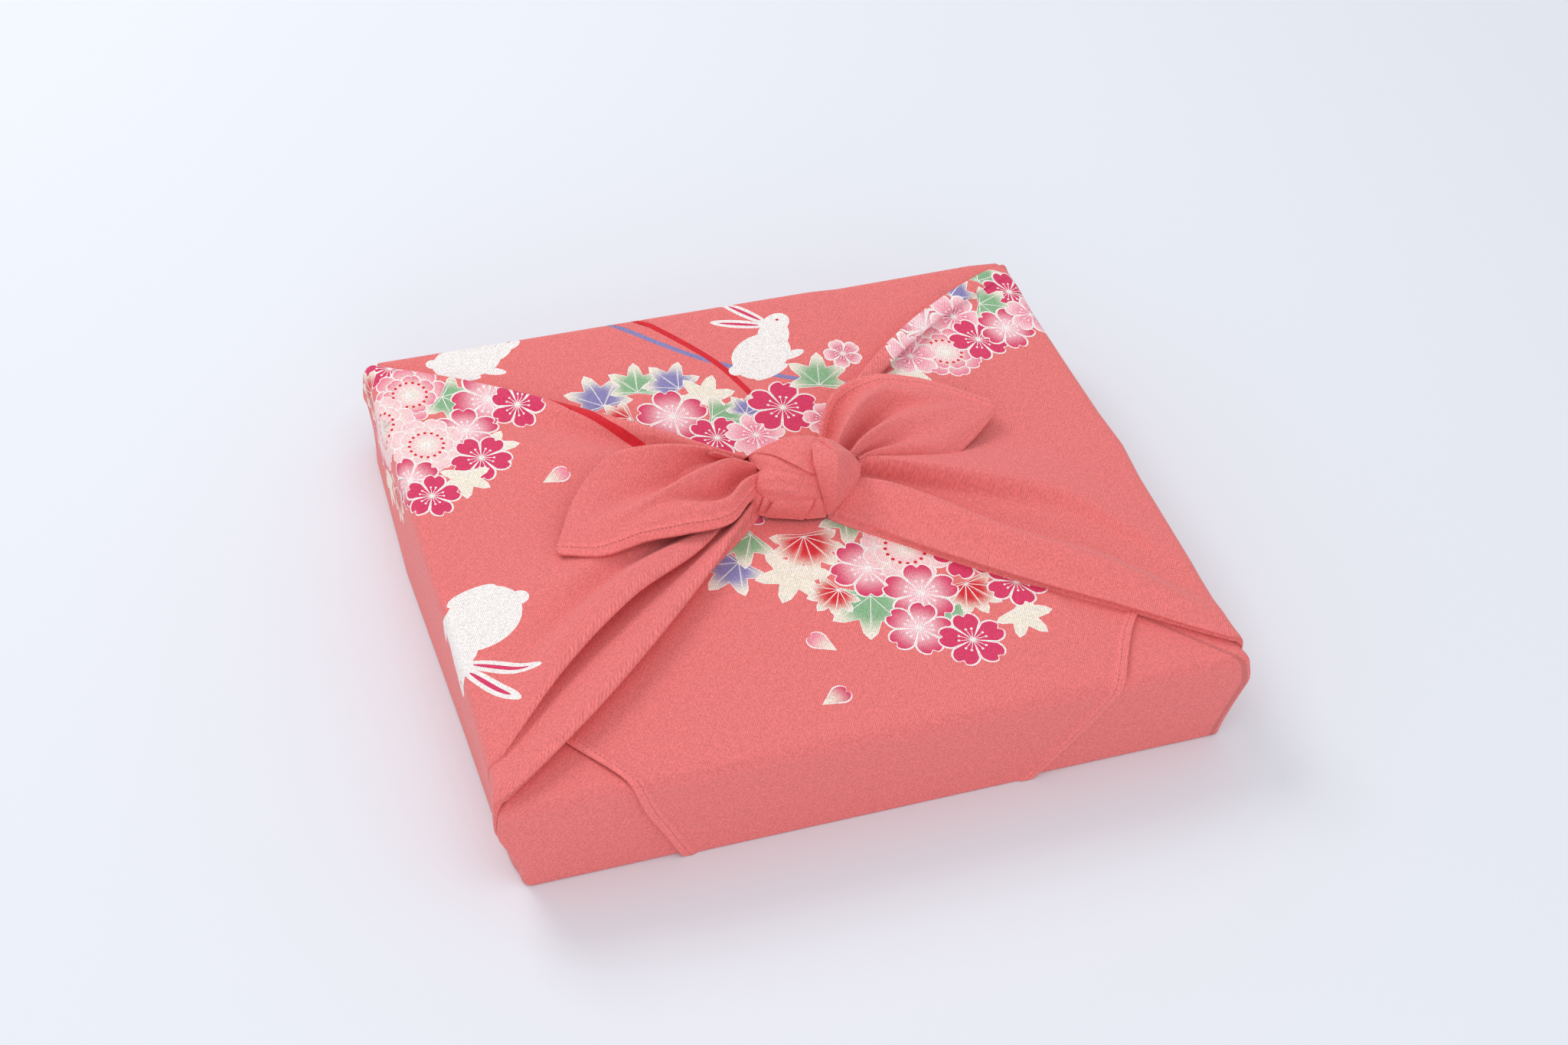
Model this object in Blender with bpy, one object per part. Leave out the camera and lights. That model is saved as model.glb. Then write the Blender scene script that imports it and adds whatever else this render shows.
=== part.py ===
"""Furoshiki wrap: one square of crepe folded over a flat gift parcel and tied on top.

Frame: +X along the parcel's long side, +Y to its back, +Z up. The origin is on the floor under the
middle of the wrap. Sizes below are real ones in millimetres, and MM turns them to Blender's metres.
The cloth is one piece, so its under layer, back flap, two arms, knot and two loose ends are one solid.
"""

import math

import bmesh
import bpy
import numpy as np

MM = 0.001

# Tables and functions place the cloth from the middle of the plain parcel. The ears stand out more
# at the right, so the origin, under the middle of the whole wrap, is this far to the right of it.
ORIGIN_X = 3.1

# Parcel under the cloth
LENGTH = 270.0
DEPTH = 224.0
UNDER_TOP = 44.0          # top of the under layer
EDGE_ROUND = 4.0          # soft top edges
FOOT_ROUND = 1.2
CORNER_ROUND = 3.0

# Layers of the cloth
LAYER = 1.0               # how far each layer stands over the one below
BITE = 1.2                # how deep a layer's hidden underside sits in the layer below
TOP = UNDER_TOP + LAYER   # top of the back flap
ON_TOP = np.array((0.0, 0.0, TOP))

# How far the short sides stand out past the plain parcel, at places along Y
#    y        at the top   at the floor
LEFT_SIDE = (
    (-111.0,   1.5,        -5.5),
    (-80.0,    0.3,        -3.5),
    (-40.0,    0.0,        -2.6),
    (40.0,     0.0,         0.0),
    (111.0,    0.0,        -2.2),
)
RIGHT_SIDE = (
    (-111.0,   4.5,         4.5),
    (-60.0,    4.0,         1.5),
    (-18.0,    3.8,         0.5),
    (0.0,      4.8,         0.5),
    (18.0,     3.0,         0.5),
    (80.0,    -0.3,         0.0),
    (97.0,    -0.2,        -0.5),
    (104.0,   -1.2,        -0.5),
    (111.0,    0.6,        -0.5),
)
# Tucked ears at the four upright corners: the cloth left over where two sides of the wrap meet
#    side_x side_y  stands out  fades out along Y
EARS = (
    (-1,    -1,     5.0,        16.0),
    (1,     -1,     6.5,        20.0),
    (1,      1,     1.5,        14.0),
    (-1,     1,     2.8,        14.0),
)
EAR_HEIGHT = 29.0
EAR_AT_TOP = 0.45         # share of an ear that is left at the top edge

# Extra height of the loosely wrapped top along its back edge
#    x        rise
BACK_RISE = (
    (-135.0,  0.3),
    (-60.0,   0.9),
    (0.0,     1.6),
    (48.0,    2.4),
    (60.0,    1.6),
    (118.0,   3.4),
    (135.0,   2.0),
)
BACK_RISE_REACH = 70.0

# Hem of the back flap, from the top face down the front: half width at each place along its path
#    place              y       z      left    right
FLAP_HEM = (
    ("under the arms",  108.0,  None,  129.0,  129.0),
    ("leaving them",    -60.0,  None,  129.0,  126.0),
    ("on the top",      -90.0,  None,  107.0,  102.0),
    ("at the edge",     -111.0, None,   92.0,   90.0),
    ("a third down",    None,   30.0,   86.5,   82.0),
    ("half way down",   None,   18.0,   80.5,   74.0),
    ("at the floor",    None,    0.6,   72.0,   61.0),
)

# Folds of the arms, from the back edge to the front one. A fold starts at side_y on the parcel's
# edge and ends at knot_y in the knot, bowed by bow in between. lift is its height over the flap at
# the parcel's edge, half way, close to the knot and in it. way is how the cloth gets to the next
# fold: soft, or rolled, which rises or falls steeply.
#    name               side_y  bow   lift_side lift_mid lift_near knot_y lift_knot way
LEFT_FOLDS = (
    ("back edge",        109.0,  9.0,  0.5,      0.7,     4.0,      16.0,   8.0, "rise"),
    ("back roll",        103.0,  8.0,  1.4,      3.6,     9.0,      15.0,  15.0, "soft"),
    ("cord hollow",       88.0,  7.0,  1.4,      1.3,     4.5,      11.0,  11.0, "soft"),
    ("back swell",        64.0,  4.0,  1.4,      4.0,     8.5,       8.0,  15.0, "soft"),
    ("shallow",            6.0,  0.0,  1.4,      1.8,     5.0,       3.0,  11.0, "soft"),
    ("front swell",      -52.0, -5.0,  1.6,      5.6,     8.5,      -1.0,  14.0, "fall"),
    ("tie hollow",       -88.0,  6.0,  1.5,      1.3,     3.0,      -4.5,   9.0, "soft"),
    ("front roll",       -99.0,  0.0,  2.4,      6.0,     8.5,      -8.0,  12.0, "fall"),
    ("front edge",      -109.5,  2.0,  0.6,      0.8,     3.0,     -11.0,   6.0, "soft"),
)
RIGHT_FOLDS = (
    ("back edge",        108.0, 10.0,  0.5,      0.7,     4.0,      22.0,   8.0, "rise"),
    ("back roll",        104.0,  9.0,  1.6,      5.0,     9.0,      20.0,  16.0, "fall"),
    ("back crease",       99.0,  7.0,  1.4,      1.2,     4.5,      16.0,  11.0, "soft"),
    ("back swell",        64.0,  4.0,  1.6,      3.4,     8.0,      13.0,  15.0, "soft"),
    ("shallow",           10.0,  8.0,  1.5,      2.2,     5.0,       9.0,  12.0, "soft"),
    ("high ridge",       -58.0, 20.0,  1.6,      6.4,     9.0,       5.0,  15.0, "soft"),
    ("tie hollow",       -66.0, 15.0,  1.5,      1.6,     3.5,       1.0,   9.0, "soft"),
    ("low ridge",        -92.0,  8.0,  1.9,      6.4,     9.0,      -4.0,  13.0, "soft"),
    ("front slope",     -103.0,  2.0,  1.8,      4.2,     6.0,      -8.0,   9.0, "fall"),
    ("front edge",      -109.5,  1.0,  0.6,      0.8,     2.5,     -11.0,   5.0, "soft"),
)
ARM_MID, ARM_NEAR = 0.45, 0.80    # how far along the arm lift_mid and lift_near are
ARM_END_X = {-1: -12.0, 1: 22.0}  # where each arm ends, inside the knot
ARM_UNDERSIDE = 1.5               # underside of an arm where it leaves for the knot, over the flap
HEM_MERGE = 22.0                  # height under which an arm's hem is tucked into the ears

# The knot: a core, and four turns of the tied arms over it. A turn has rows along its length, each
# with its two edges and the crown between them. Heights here and in the ends are over the flap.
KNOT_CENTRE = (5.0, 0.0, 12.0)
KNOT_CORE = (19.0, 12.0, 11.5)    # half sizes
TURN_DEPTH = 0.45                 # how far a turn's underside is in, as a share of the way to the centre
#    back edge             crown                  front edge
OVER_TURN = (
    ((-16.0, 7.0, 13.0),   (-16.5, 3.0, 15.5),    (-15.0, -1.0, 13.5)),
    ((-11.0, 12.0, 15.0),  (-10.5, 5.0, 23.0),    (-11.0, -3.0, 18.5)),
    ((-4.0, 14.5, 16.0),   (-3.5, 4.0, 26.5),     (-4.5, -8.5, 19.0)),
    ((4.0, 14.5, 16.0),    (4.0, 3.0, 28.0),      (3.0, -10.0, 19.0)),
    ((12.0, 13.0, 16.0),   (11.0, 2.0, 26.5),     (9.5, -9.5, 18.5)),
    ((18.0, 10.0, 15.0),   (17.0, 1.0, 23.0),     (15.0, -8.0, 16.0)),
)
#    top edge              crown                  bottom edge
BELLY_TURN = (
    ((-15.0, -2.0, 14.0),  (-18.5, -7.0, 9.5),   (-15.0, -5.0, 2.0)),
    ((-10.0, -7.0, 17.0),  (-13.5, -13.0, 10.5),  (-11.0, -9.5, 1.3)),
    ((-3.0, -9.0, 18.5),   (-4.5, -16.0, 11.5),   (-4.0, -11.5, 1.2)),
    ((4.0, -10.0, 18.5),   (4.0, -17.0, 11.5),    (4.0, -12.5, 1.2)),
    ((11.0, -9.0, 18.0),   (11.5, -15.5, 11.0),   (11.0, -12.0, 1.3)),
    ((17.0, -5.0, 15.0),   (17.5, -10.5, 10.0),   (16.0, -8.0, 2.0)),
)
#    left edge             crown                  right edge
FLAP_TURN = (
    ((8.0, 11.0, 20.0),    (14.0, 12.5, 19.0),    (20.0, 11.0, 14.0)),
    ((8.5, 6.0, 26.0),     (16.0, 7.0, 26.5),     (25.0, 6.0, 16.0)),
    ((8.5, -2.0, 27.5),    (17.5, -1.0, 27.5),    (28.0, 0.5, 13.5)),
    ((9.0, -9.5, 24.0),    (18.0, -9.0, 23.0),    (27.0, -4.5, 9.5)),
    ((10.0, -15.5, 16.5),  (16.5, -15.5, 15.5),   (23.0, -9.0, 6.0)),
    ((11.5, -16.5, 8.0),  (14.5, -16.0, 7.5),   (17.5, -12.0, 3.0)),
    ((12.0, -14.0, 2.5),  (13.5, -13.5, 2.2),   (15.0, -12.0, 1.5)),
)
#    top edge              crown                  bottom edge
BACK_TURN = (
    ((-14.0, 4.0, 16.0),   (-17.0, 7.0, 9.0),    (-14.0, 5.0, 2.0)),
    ((-6.0, 10.0, 19.0),   (-7.0, 14.5, 10.0),    (-6.0, 11.0, 1.5)),
    ((6.0, 11.0, 20.0),    (6.0, 16.5, 10.5),     (6.0, 12.5, 1.5)),
    ((16.0, 9.0, 18.0),    (17.5, 14.0, 10.0),    (16.0, 11.0, 1.5)),
    ((23.0, 3.0, 15.0),    (25.0, 7.0, 9.0),     (22.0, 6.0, 2.0)),
)

# The loose ends: pulled corners of the cloth that stand out of the knot like leaves. Each fold has
# five points along it, from the knot to the tip, at these shares of its length.
END_PLACES = (0.0, 0.27, 0.58, 0.86, 1.0)
#    name           in the knot     over the arm     widest             near the tip      tip
LEFT_END = (
    ("back rim",    (-12, 9, 15),   (-37, 23, 17.5), (-63, 24, 15.5),   (-82.5, 8, 10),   (-89.5, -5, 4.5)),
    ("hollow",      (-11, 7, 13),   (-34, 13, 11.5), (-57, 10, 10),     (-78.5, -1, 7.5), (-89.7, -6, 4.2)),
    ("ridge",       (-9, 4, 18),    (-31, 7, 20),    (-54, -1, 16.5),   (-77, -6, 9),     (-89.7, -7, 4)),
    ("pocket",      (-10, 0.5, 14), (-29, -2, 12.5), (-52, -5, 13),     (-75.5, -9, 7.5), (-89.4, -8, 3.9)),
    ("front swell", (-12, -3, 15),  (-29, -8.5, 13), (-52, -8.5, 10.5), (-75, -11, 6),    (-89, -8.8, 3.8)),
    ("front edge",  (-18, -8, 9),   (-31, -13, 7.5), (-52, -12, 6.5),   (-75, -13, 4.5),  (-88.4, -9.4, 3.7)),
)
RIGHT_END = (
    ("back rim",     (14, 9, 15.5),   (27, 34, 16.5),    (51, 45.5, 14.5), (79, 33.5, 11.5), (93.5, 24.5, 9.5)),
    ("back crease",  (18, 10, 13),    (31, 29, 13),      (54, 40, 12.5),   (80, 31, 10.3),   (93.8, 23.8, 9.2)),
    ("back ridge",   (20, 8.5, 17),   (35, 23.5, 18),    (56, 35.5, 15),   (81, 28.5, 10.8), (94, 23.2, 9)),
    ("hollow",       (22, 8, 12.5),   (37.5, 18, 11),    (58, 28.5, 9.5),  (82, 25, 9),      (94, 22.7, 8.8)),
    ("front ridge",  (24, 5.5, 16.5), (41, 14, 18),      (62, 20.5, 15),   (83, 20.5, 10.3), (94, 22.2, 8.8)),
    ("front crease", (26, 4.5, 12.5), (43, 10, 10.5),    (64, 13.5, 9.5),  (84, 16.5, 8.6),  (93.8, 21.7, 8.6)),
    ("front swell",  (27, 3.5, 15),   (42.5, 6.5, 12.5), (64.5, 7.5, 10),  (83, 13.5, 8),    (93.5, 21.2, 8.6)),
    ("front edge",   (26, 2, 10.5),   (41, 3.5, 8.5),    (64, 2.5, 6),     (82, 11, 6.5),    (93.1, 20.7, 8.5)),
)
END_THICK = 2.2

CLOTH_COLOUR = (0.78, 0.17, 0.19, 1.0)
CLOTH_ROUGHNESS = 0.85


def clear_scene():
    for obj in list(bpy.data.objects):
        bpy.data.objects.remove(obj)


def ease(x):
    """Smooth step from 0 to 1."""
    x = np.clip(x, 0.0, 1.0)
    return x * x * (3.0 - 2.0 * x)


def smooth_through(places, values, at):
    """A smooth curve through values (numbers or points) at rising places, read at one place."""
    places = np.asarray(places, float)
    values = np.asarray(values, float)
    slopes = np.gradient(values, places, axis=0)
    i = int(np.clip(np.searchsorted(places, at) - 1, 0, len(places) - 2))
    span = places[i + 1] - places[i]
    f = min(max((at - places[i]) / span, 0.0), 1.0)
    f2, f3 = f * f, f * f * f
    return (
        values[i] * (2 * f3 - 3 * f2 + 1)
        + values[i + 1] * (3 * f2 - 2 * f3)
        + slopes[i] * span * (f3 - 2 * f2 + f)
        + slopes[i + 1] * span * (f3 - f2)
    )


def read_table(rows, column, at):
    """One column of a table, read at a place given in its first column."""
    return float(np.interp(at, [row[0] for row in rows], [row[column] for row in rows]))


def back_rise(x, y):
    reach = ease((y - (DEPTH / 2 - BACK_RISE_REACH)) / BACK_RISE_REACH)
    return read_table(BACK_RISE, 1, x) * reach


def ear_height_share(z):
    """How much of an ear stands out at one height: a folded corner, sharp at its own height."""
    if z < EAR_HEIGHT:
        return max(0.0, (z - 3.0) / (EAR_HEIGHT - 3.0)) ** 1.2
    return 1.0 - (1.0 - EAR_AT_TOP) * ease((z - EAR_HEIGHT) / (TOP - EAR_HEIGHT))


def side_out(side, y, z):
    """How far a short side of the wrap stands out past the plain parcel."""
    rows = LEFT_SIDE if side < 0 else RIGHT_SIDE
    out = read_table(rows, 2, y)
    out += (read_table(rows, 1, y) - out) * ease(z / UNDER_TOP)
    for side_x, side_y, stands_out, fades in EARS:
        if side_x == side:
            away = min(1.0, (DEPTH / 2 - side_y * y) / fades)
            out += stands_out * ear_height_share(z) * (1.0 - away) ** 2
    return out


def add_object(name, bm, guide=True):
    """Makes an object from a closed bmesh in millimetres. A guide only feeds a Boolean."""
    bmesh.ops.recalc_face_normals(bm, faces=bm.faces)
    if bm.calc_volume(signed=True) < 0:
        bmesh.ops.reverse_faces(bm, faces=bm.faces)
    bmesh.ops.translate(bm, vec=(-ORIGIN_X, 0.0, 0.0), verts=bm.verts)
    bmesh.ops.scale(bm, vec=(MM, MM, MM), verts=bm.verts)
    mesh = bpy.data.meshes.new(name)
    bm.to_mesh(mesh)
    bm.free()
    obj = bpy.data.objects.new(name, mesh)
    bpy.context.scene.collection.objects.link(obj)
    if guide:
        obj.hide_render = True
        obj.display_type = "WIRE"
    return obj


def closed_sheet(upper, lower):
    """A closed bmesh between two grids of points of the same shape."""
    rows, columns = upper.shape[:2]
    bm = bmesh.new()
    above = [[bm.verts.new(p) for p in row] for row in upper]
    below = [[bm.verts.new(p) for p in row] for row in lower]
    for i in range(rows - 1):
        for j in range(columns - 1):
            bm.faces.new((above[i][j], above[i + 1][j], above[i + 1][j + 1], above[i][j + 1]))
            bm.faces.new((below[i][j], below[i][j + 1], below[i + 1][j + 1], below[i + 1][j]))
    rim = [(i, 0) for i in range(rows)]
    rim += [(rows - 1, j) for j in range(1, columns)]
    rim += [(i, columns - 1) for i in range(rows - 2, -1, -1)]
    rim += [(0, j) for j in range(columns - 2, 0, -1)]
    for (i, j), (k, m) in zip(rim, rim[1:] + rim[:1]):
        bm.faces.new((above[i][j], above[k][m], below[k][m], below[i][j]))
    return bm


def closed_stack(rings):
    """A closed bmesh through rings of points, with flat ends."""
    bm = bmesh.new()
    rings = [[bm.verts.new(p) for p in ring] for ring in rings]
    for ring, after in zip(rings, rings[1:]):
        for j in range(len(ring)):
            k = (j + 1) % len(ring)
            bm.faces.new((ring[j], ring[k], after[k], after[j]))
    bm.faces.new(rings[0])
    bm.faces.new(rings[-1])
    return bm


def under_ring(z, inset, rises):
    """The under layer's outline at one height, pulled in by inset."""
    arc_steps, side_steps = 3, 9
    half_depth = DEPTH / 2 - inset
    inner = half_depth - CORNER_ROUND
    turns = [math.radians(90 * k / arc_steps) for k in range(arc_steps + 1)]
    ring = []
    for side in (1, -1):
        ys = [-inner - CORNER_ROUND * math.cos(a) for a in turns]
        ys += [inner * (2 * k / side_steps - 1) for k in range(1, side_steps)]
        ys += [inner + CORNER_ROUND * math.sin(a) for a in turns]
        for y in ys:
            past = max(0.0, abs(y) - inner)
            cut = CORNER_ROUND - math.sqrt(max(0.0, CORNER_ROUND ** 2 - past ** 2))
            x = side * (LENGTH / 2 - LAYER - inset - cut + side_out(side, side * y, z))
            ring.append((x, side * y, z))
        end_x, end_y = ring[-1][:2]
        for k in range(1, side_steps):
            f = k / side_steps
            far = -side * (LENGTH / 2 - LAYER - inset - CORNER_ROUND + side_out(-side, side * half_depth, z))
            ring.append((end_x + (far - end_x) * f, side * half_depth, z))
    return [(x, y, z + (back_rise(x, y) if rises else 0.0)) for x, y, z in ring]


def under_layer():
    """The cloth under the flap and the arms, filled by the parcel."""
    rings = [under_ring(0.0, FOOT_ROUND, False)]
    rings += [under_ring(z, 0.0, False) for z in (FOOT_ROUND, 8.0, 15.0, 22.0, EAR_HEIGHT)]
    for k in range(4):
        a = math.radians(90 * k / 3)
        rise = EDGE_ROUND * math.sin(a)
        inset = EDGE_ROUND * (1 - math.cos(a))
        rings.append(under_ring(UNDER_TOP - EDGE_ROUND + rise, inset, k == 3))
    rings += [under_ring(UNDER_TOP, inset, True) for inset in (12.0, 26.0, 48.0)]
    return closed_stack(rings)


def flap_width(y, z):
    """Left and right half widths of the back flap at one place of its path."""
    on_top = [(-row[1], row[3], row[4]) for row in FLAP_HEM if row[1] is not None]
    if z is None:
        return read_table(on_top, 1, -y), read_table(on_top, 2, -y)
    down = [on_top[-1]] + [(row[2], row[3], row[4]) for row in FLAP_HEM if row[2] is not None]
    down[0] = (UNDER_TOP,) + down[0][1:]
    down.reverse()
    return read_table(down, 1, z), read_table(down, 2, z)


def flap_path():
    """The flap's way round the parcel, from the back floor to the front floor.

    Each place is (y, z, out_y, out_z, left, right).
    """
    radius = EDGE_ROUND + LAYER
    arc_y = DEPTH / 2 - EDGE_ROUND
    arc_z = UNDER_TOP - EDGE_ROUND
    wide = flap_width(DEPTH / 2, None)
    path = [(DEPTH / 2 + LAYER, z, 1.0, 0.0, *wide) for z in np.linspace(FOOT_ROUND + 0.5, arc_z - 1, 4)]
    turns = [math.radians(angle) for angle in (15, 45, 75)]
    path += [(arc_y + radius * math.cos(a), arc_z + radius * math.sin(a), math.cos(a), math.sin(a), *wide)
             for a in turns]
    for y in np.concatenate([np.linspace(arc_y - 1, -50, 9), np.linspace(-62, 1 - arc_y, 7)]):
        path.append((y, TOP, 0.0, 1.0, *flap_width(y, None)))
    edge = flap_width(-DEPTH / 2, None)
    path += [(-arc_y - radius * math.cos(a), arc_z + radius * math.sin(a), -math.cos(a), math.sin(a), *edge)
             for a in reversed(turns)]
    for z in np.linspace(arc_z - 1, 0.6, 6):
        path.append((-DEPTH / 2 - LAYER, z, -1.0, 0.0, *flap_width(None, z)))
    return path


def back_flap():
    """The back corner of the cloth, over the top, down the front and tucked under."""
    deep = LAYER + BITE
    upper, lower = [], []
    for y, z, out_y, out_z, left, right in flap_path():
        row = [(-left + (left + right) * k / 10, y, z) for k in range(11)]
        row = [(x, y, z + back_rise(x, y) * max(0.0, out_z)) for x, y, z in row]
        upper.append(row)
        lower.append([(x, y - out_y * deep, z - out_z * deep) for x, y, z in row])
    return closed_sheet(np.array(upper), np.array(lower))


def arm_section(folds, t, steps):
    """One section across an arm: places along Y and their lifts over the flap."""
    marks = []
    for name, side_y, bow, lift_side, lift_mid, lift_near, knot_y, lift_knot, way in folds:
        y = side_y + (knot_y - side_y) * t + bow * 4 * t * (1 - t)
        lifts = (lift_side, lift_mid, lift_near, lift_knot)
        marks.append((y, float(smooth_through((0.0, ARM_MID, ARM_NEAR, 1.0), lifts, t)), way))
    section = []
    for (y, lift, way), (next_y, next_lift, _) in zip(marks, marks[1:]):
        for k in range(steps):
            f = k / steps
            if way == "rise":
                share = math.sqrt(1 - (1 - f) ** 2)
            elif way == "fall":
                share = 1 - math.sqrt(1 - f ** 2)
            else:
                share = ease(f)
            section.append((y + (next_y - y) * f, lift + (next_lift - lift) * share))
    section.append(marks[-1][:2])
    return section


def arm_points(side, folds, place, t, steps):
    """Points across an arm at one place, on the cloth and on its hidden underside.

    place is ("side", z), ("edge", angle) or ("top", t).
    """
    radius = EDGE_ROUND + LAYER
    arc_z = TOP + LAYER - radius
    kind, value = place
    section = arm_section(folds, t, steps)
    first, last = section[0][0], section[-1][0]
    above, below = [], []
    for y, lift in section:
        arc_x = side * (LENGTH / 2 + side_out(side, y, TOP) - EDGE_ROUND)
        if kind == "side":
            z = value
            tucked = (1 - ease((z - HEM_MERGE) / 8)) * (1 - ease(min(first - y, y - last) / 8))
            x = side * (LENGTH / 2 + side_out(side, y, z) + (lift - LAYER) * 0.5 * ease(z / TOP))
            x -= side * tucked * (LAYER + 0.4)
            out = (side, 0.0)
        elif kind == "edge":
            out = (side * math.cos(value), math.sin(value))
            x = arc_x + out[0] * (radius - LAYER + (lift - LAYER) * (0.5 + 0.5 * out[1]))
            z = arc_z + out[1] * (radius + (lift - LAYER) * (0.5 + 0.5 * out[1]))
        else:
            out = (0.0, 1.0)
            x = arc_x + (ARM_END_X[side] - arc_x) * value
            z = TOP + lift
        z += back_rise(x, y) * out[1]
        above.append((x, y, z))
        if kind == "top":
            base = TOP - BITE + back_rise(x, y)
            below.append((x, y, base + (TOP + ARM_UNDERSIDE - base) * ease((value - 0.62) / 0.38)))
        else:
            deep = LAYER + BITE
            below.append((x - out[0] * deep, y, z - out[1] * deep))
    return above, below


def arm(side, folds):
    """One arm: up the parcel's side, over its edge, and drawn together into the knot."""
    arc_z = TOP + LAYER - EDGE_ROUND - LAYER
    places = [("side", z) for z in (2.0, 9.5, 16.5, 24.0, EAR_HEIGHT + 0.6, arc_z)]
    places += [("edge", math.radians(28)), ("edge", math.radians(62))]
    places += [("top", t) for t in np.linspace(0, 1, 15)]
    upper, lower = [], []
    for kind, value in places:
        above, below = arm_points(side, folds, (kind, value), value if kind == "top" else 0.0, 3)
        upper.append(above)
        lower.append(below)
    return closed_sheet(np.array(upper), np.array(lower))


def knot_core():
    bm = bmesh.new()
    bmesh.ops.create_uvsphere(bm, u_segments=16, v_segments=10, radius=1.0)
    for v in bm.verts:
        v.co = [c + s * p for c, s, p in zip(KNOT_CENTRE, KNOT_CORE, v.co)]
    bmesh.ops.translate(bm, verts=bm.verts, vec=(0.0, 0.0, TOP))
    return bm


def knot_turn(rows):
    """One turn of cloth over the knot's core, its underside drawn in to the knot's centre."""
    places = np.arange(len(rows))
    table = np.array(rows)
    centre = np.array(KNOT_CENTRE)
    upper = []
    for at in np.linspace(0, len(rows) - 1, 3 * (len(rows) - 1) + 1):
        near, crown, far = smooth_through(places, table, at)
        bend = crown * 2 - (near + far) / 2
        upper.append([near * (1 - s) ** 2 + bend * 2 * s * (1 - s) + far * s ** 2
                      for s in np.linspace(0, 1, 8)])
    upper = np.array(upper)
    lower = upper + (centre - upper) * TURN_DEPTH
    return closed_sheet(upper + ON_TOP, lower + ON_TOP)


def loose_end(folds):
    """One pulled corner of the cloth, standing out of the knot like a leaf."""
    steps = 3
    lines = np.array([row[1:] for row in folds])
    across = np.arange(len(folds))
    upper = []
    for t in np.linspace(0, 1, 14):
        marks = np.array([smooth_through(END_PLACES, line, t) for line in lines])
        upper.append([smooth_through(across, marks, s)
                      for s in np.linspace(0, across[-1], steps * across[-1] + 1)])
    upper = np.array(upper) + ON_TOP
    return closed_sheet(upper, upper - np.array((0.0, 0.0, END_THICK)))


def crepe_material():
    material = bpy.data.materials.new("coral crepe")
    material.use_nodes = True
    shader = material.node_tree.nodes["Principled BSDF"]
    shader.inputs["Base Color"].default_value = CLOTH_COLOUR
    shader.inputs["Roughness"].default_value = CLOTH_ROUGHNESS
    shader.inputs["Metallic"].default_value = 0.0
    return material


def join(obj, guide):
    union = obj.modifiers.new(guide.name, "BOOLEAN")
    union.operation = "UNION"
    union.object = guide


def main():
    clear_scene()
    cloth = add_object("furoshiki_cloth", under_layer(), guide=False)
    cloth.data.materials.append(crepe_material())
    join(cloth, add_object("back_flap", back_flap()))
    join(cloth, add_object("left_arm", arm(-1, LEFT_FOLDS)))
    join(cloth, add_object("right_arm", arm(1, RIGHT_FOLDS)))
    join(cloth, add_object("left_end", loose_end(LEFT_END)))
    join(cloth, add_object("right_end", loose_end(RIGHT_END)))
    join(cloth, add_object("knot_core", knot_core()))
    join(cloth, add_object("back_turn", knot_turn(BACK_TURN)))
    join(cloth, add_object("belly_turn", knot_turn(BELLY_TURN)))
    join(cloth, add_object("over_turn", knot_turn(OVER_TURN)))
    join(cloth, add_object("flap_turn", knot_turn(FLAP_TURN)))


main()
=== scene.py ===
# %% [markdown]
# A furoshiki is one square of cloth that is folded and knotted round a thing to carry or give it. This
# one is crepe, dyed coral and printed with blossoms, leaves and rabbits, and it wraps a flat gift
# parcel. Two corners are folded over the parcel and tucked in, and the other two are tied on top.
#
# The wrap could be draped by simulation, but a tied knot is nearly impossible to reach that way. So each
# stretch of the cloth is a thin sheet whose folds come from short tables, as a maker would describe them:
# where a fold starts, where it ends in the knot, and how high it stands. Those numbers were read off the
# picture and then adjusted until the folds looked right. All sizes are in millimetres.

# %% The imported model as a fixed frame
import math

import bpy
import numpy as np
from mathutils import Matrix, Vector
from mathutils.geometry import delaunay_2d_cdt


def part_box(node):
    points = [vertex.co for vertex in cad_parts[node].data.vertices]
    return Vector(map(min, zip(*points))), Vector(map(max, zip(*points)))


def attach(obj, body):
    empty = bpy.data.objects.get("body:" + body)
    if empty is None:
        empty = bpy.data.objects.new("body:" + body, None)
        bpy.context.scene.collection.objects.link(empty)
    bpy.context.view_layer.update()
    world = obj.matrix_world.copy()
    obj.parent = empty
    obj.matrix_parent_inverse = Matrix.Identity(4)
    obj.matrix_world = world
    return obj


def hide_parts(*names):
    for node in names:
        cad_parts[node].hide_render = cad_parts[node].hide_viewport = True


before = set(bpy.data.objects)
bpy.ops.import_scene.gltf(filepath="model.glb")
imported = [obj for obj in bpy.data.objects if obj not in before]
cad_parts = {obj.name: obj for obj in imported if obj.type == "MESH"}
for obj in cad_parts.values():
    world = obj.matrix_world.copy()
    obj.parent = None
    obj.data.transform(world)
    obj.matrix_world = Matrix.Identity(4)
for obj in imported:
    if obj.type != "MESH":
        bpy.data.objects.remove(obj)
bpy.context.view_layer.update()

NODE = "furoshiki_cloth"
MM = 0.001
low, high = (np.array(corner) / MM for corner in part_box(NODE))
print("CAD box in mm:", low.round(1), high.round(1))

# %% [markdown]
# The parcel itself never shows. What shows is where the cloth lies over it, so the parcel is a few sizes:
# its length, depth and height, how round the cloth makes its edges, and how far the loosely pulled sides
# stand out. The driving sizes are taken from the frame's box where it gives them.

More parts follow.
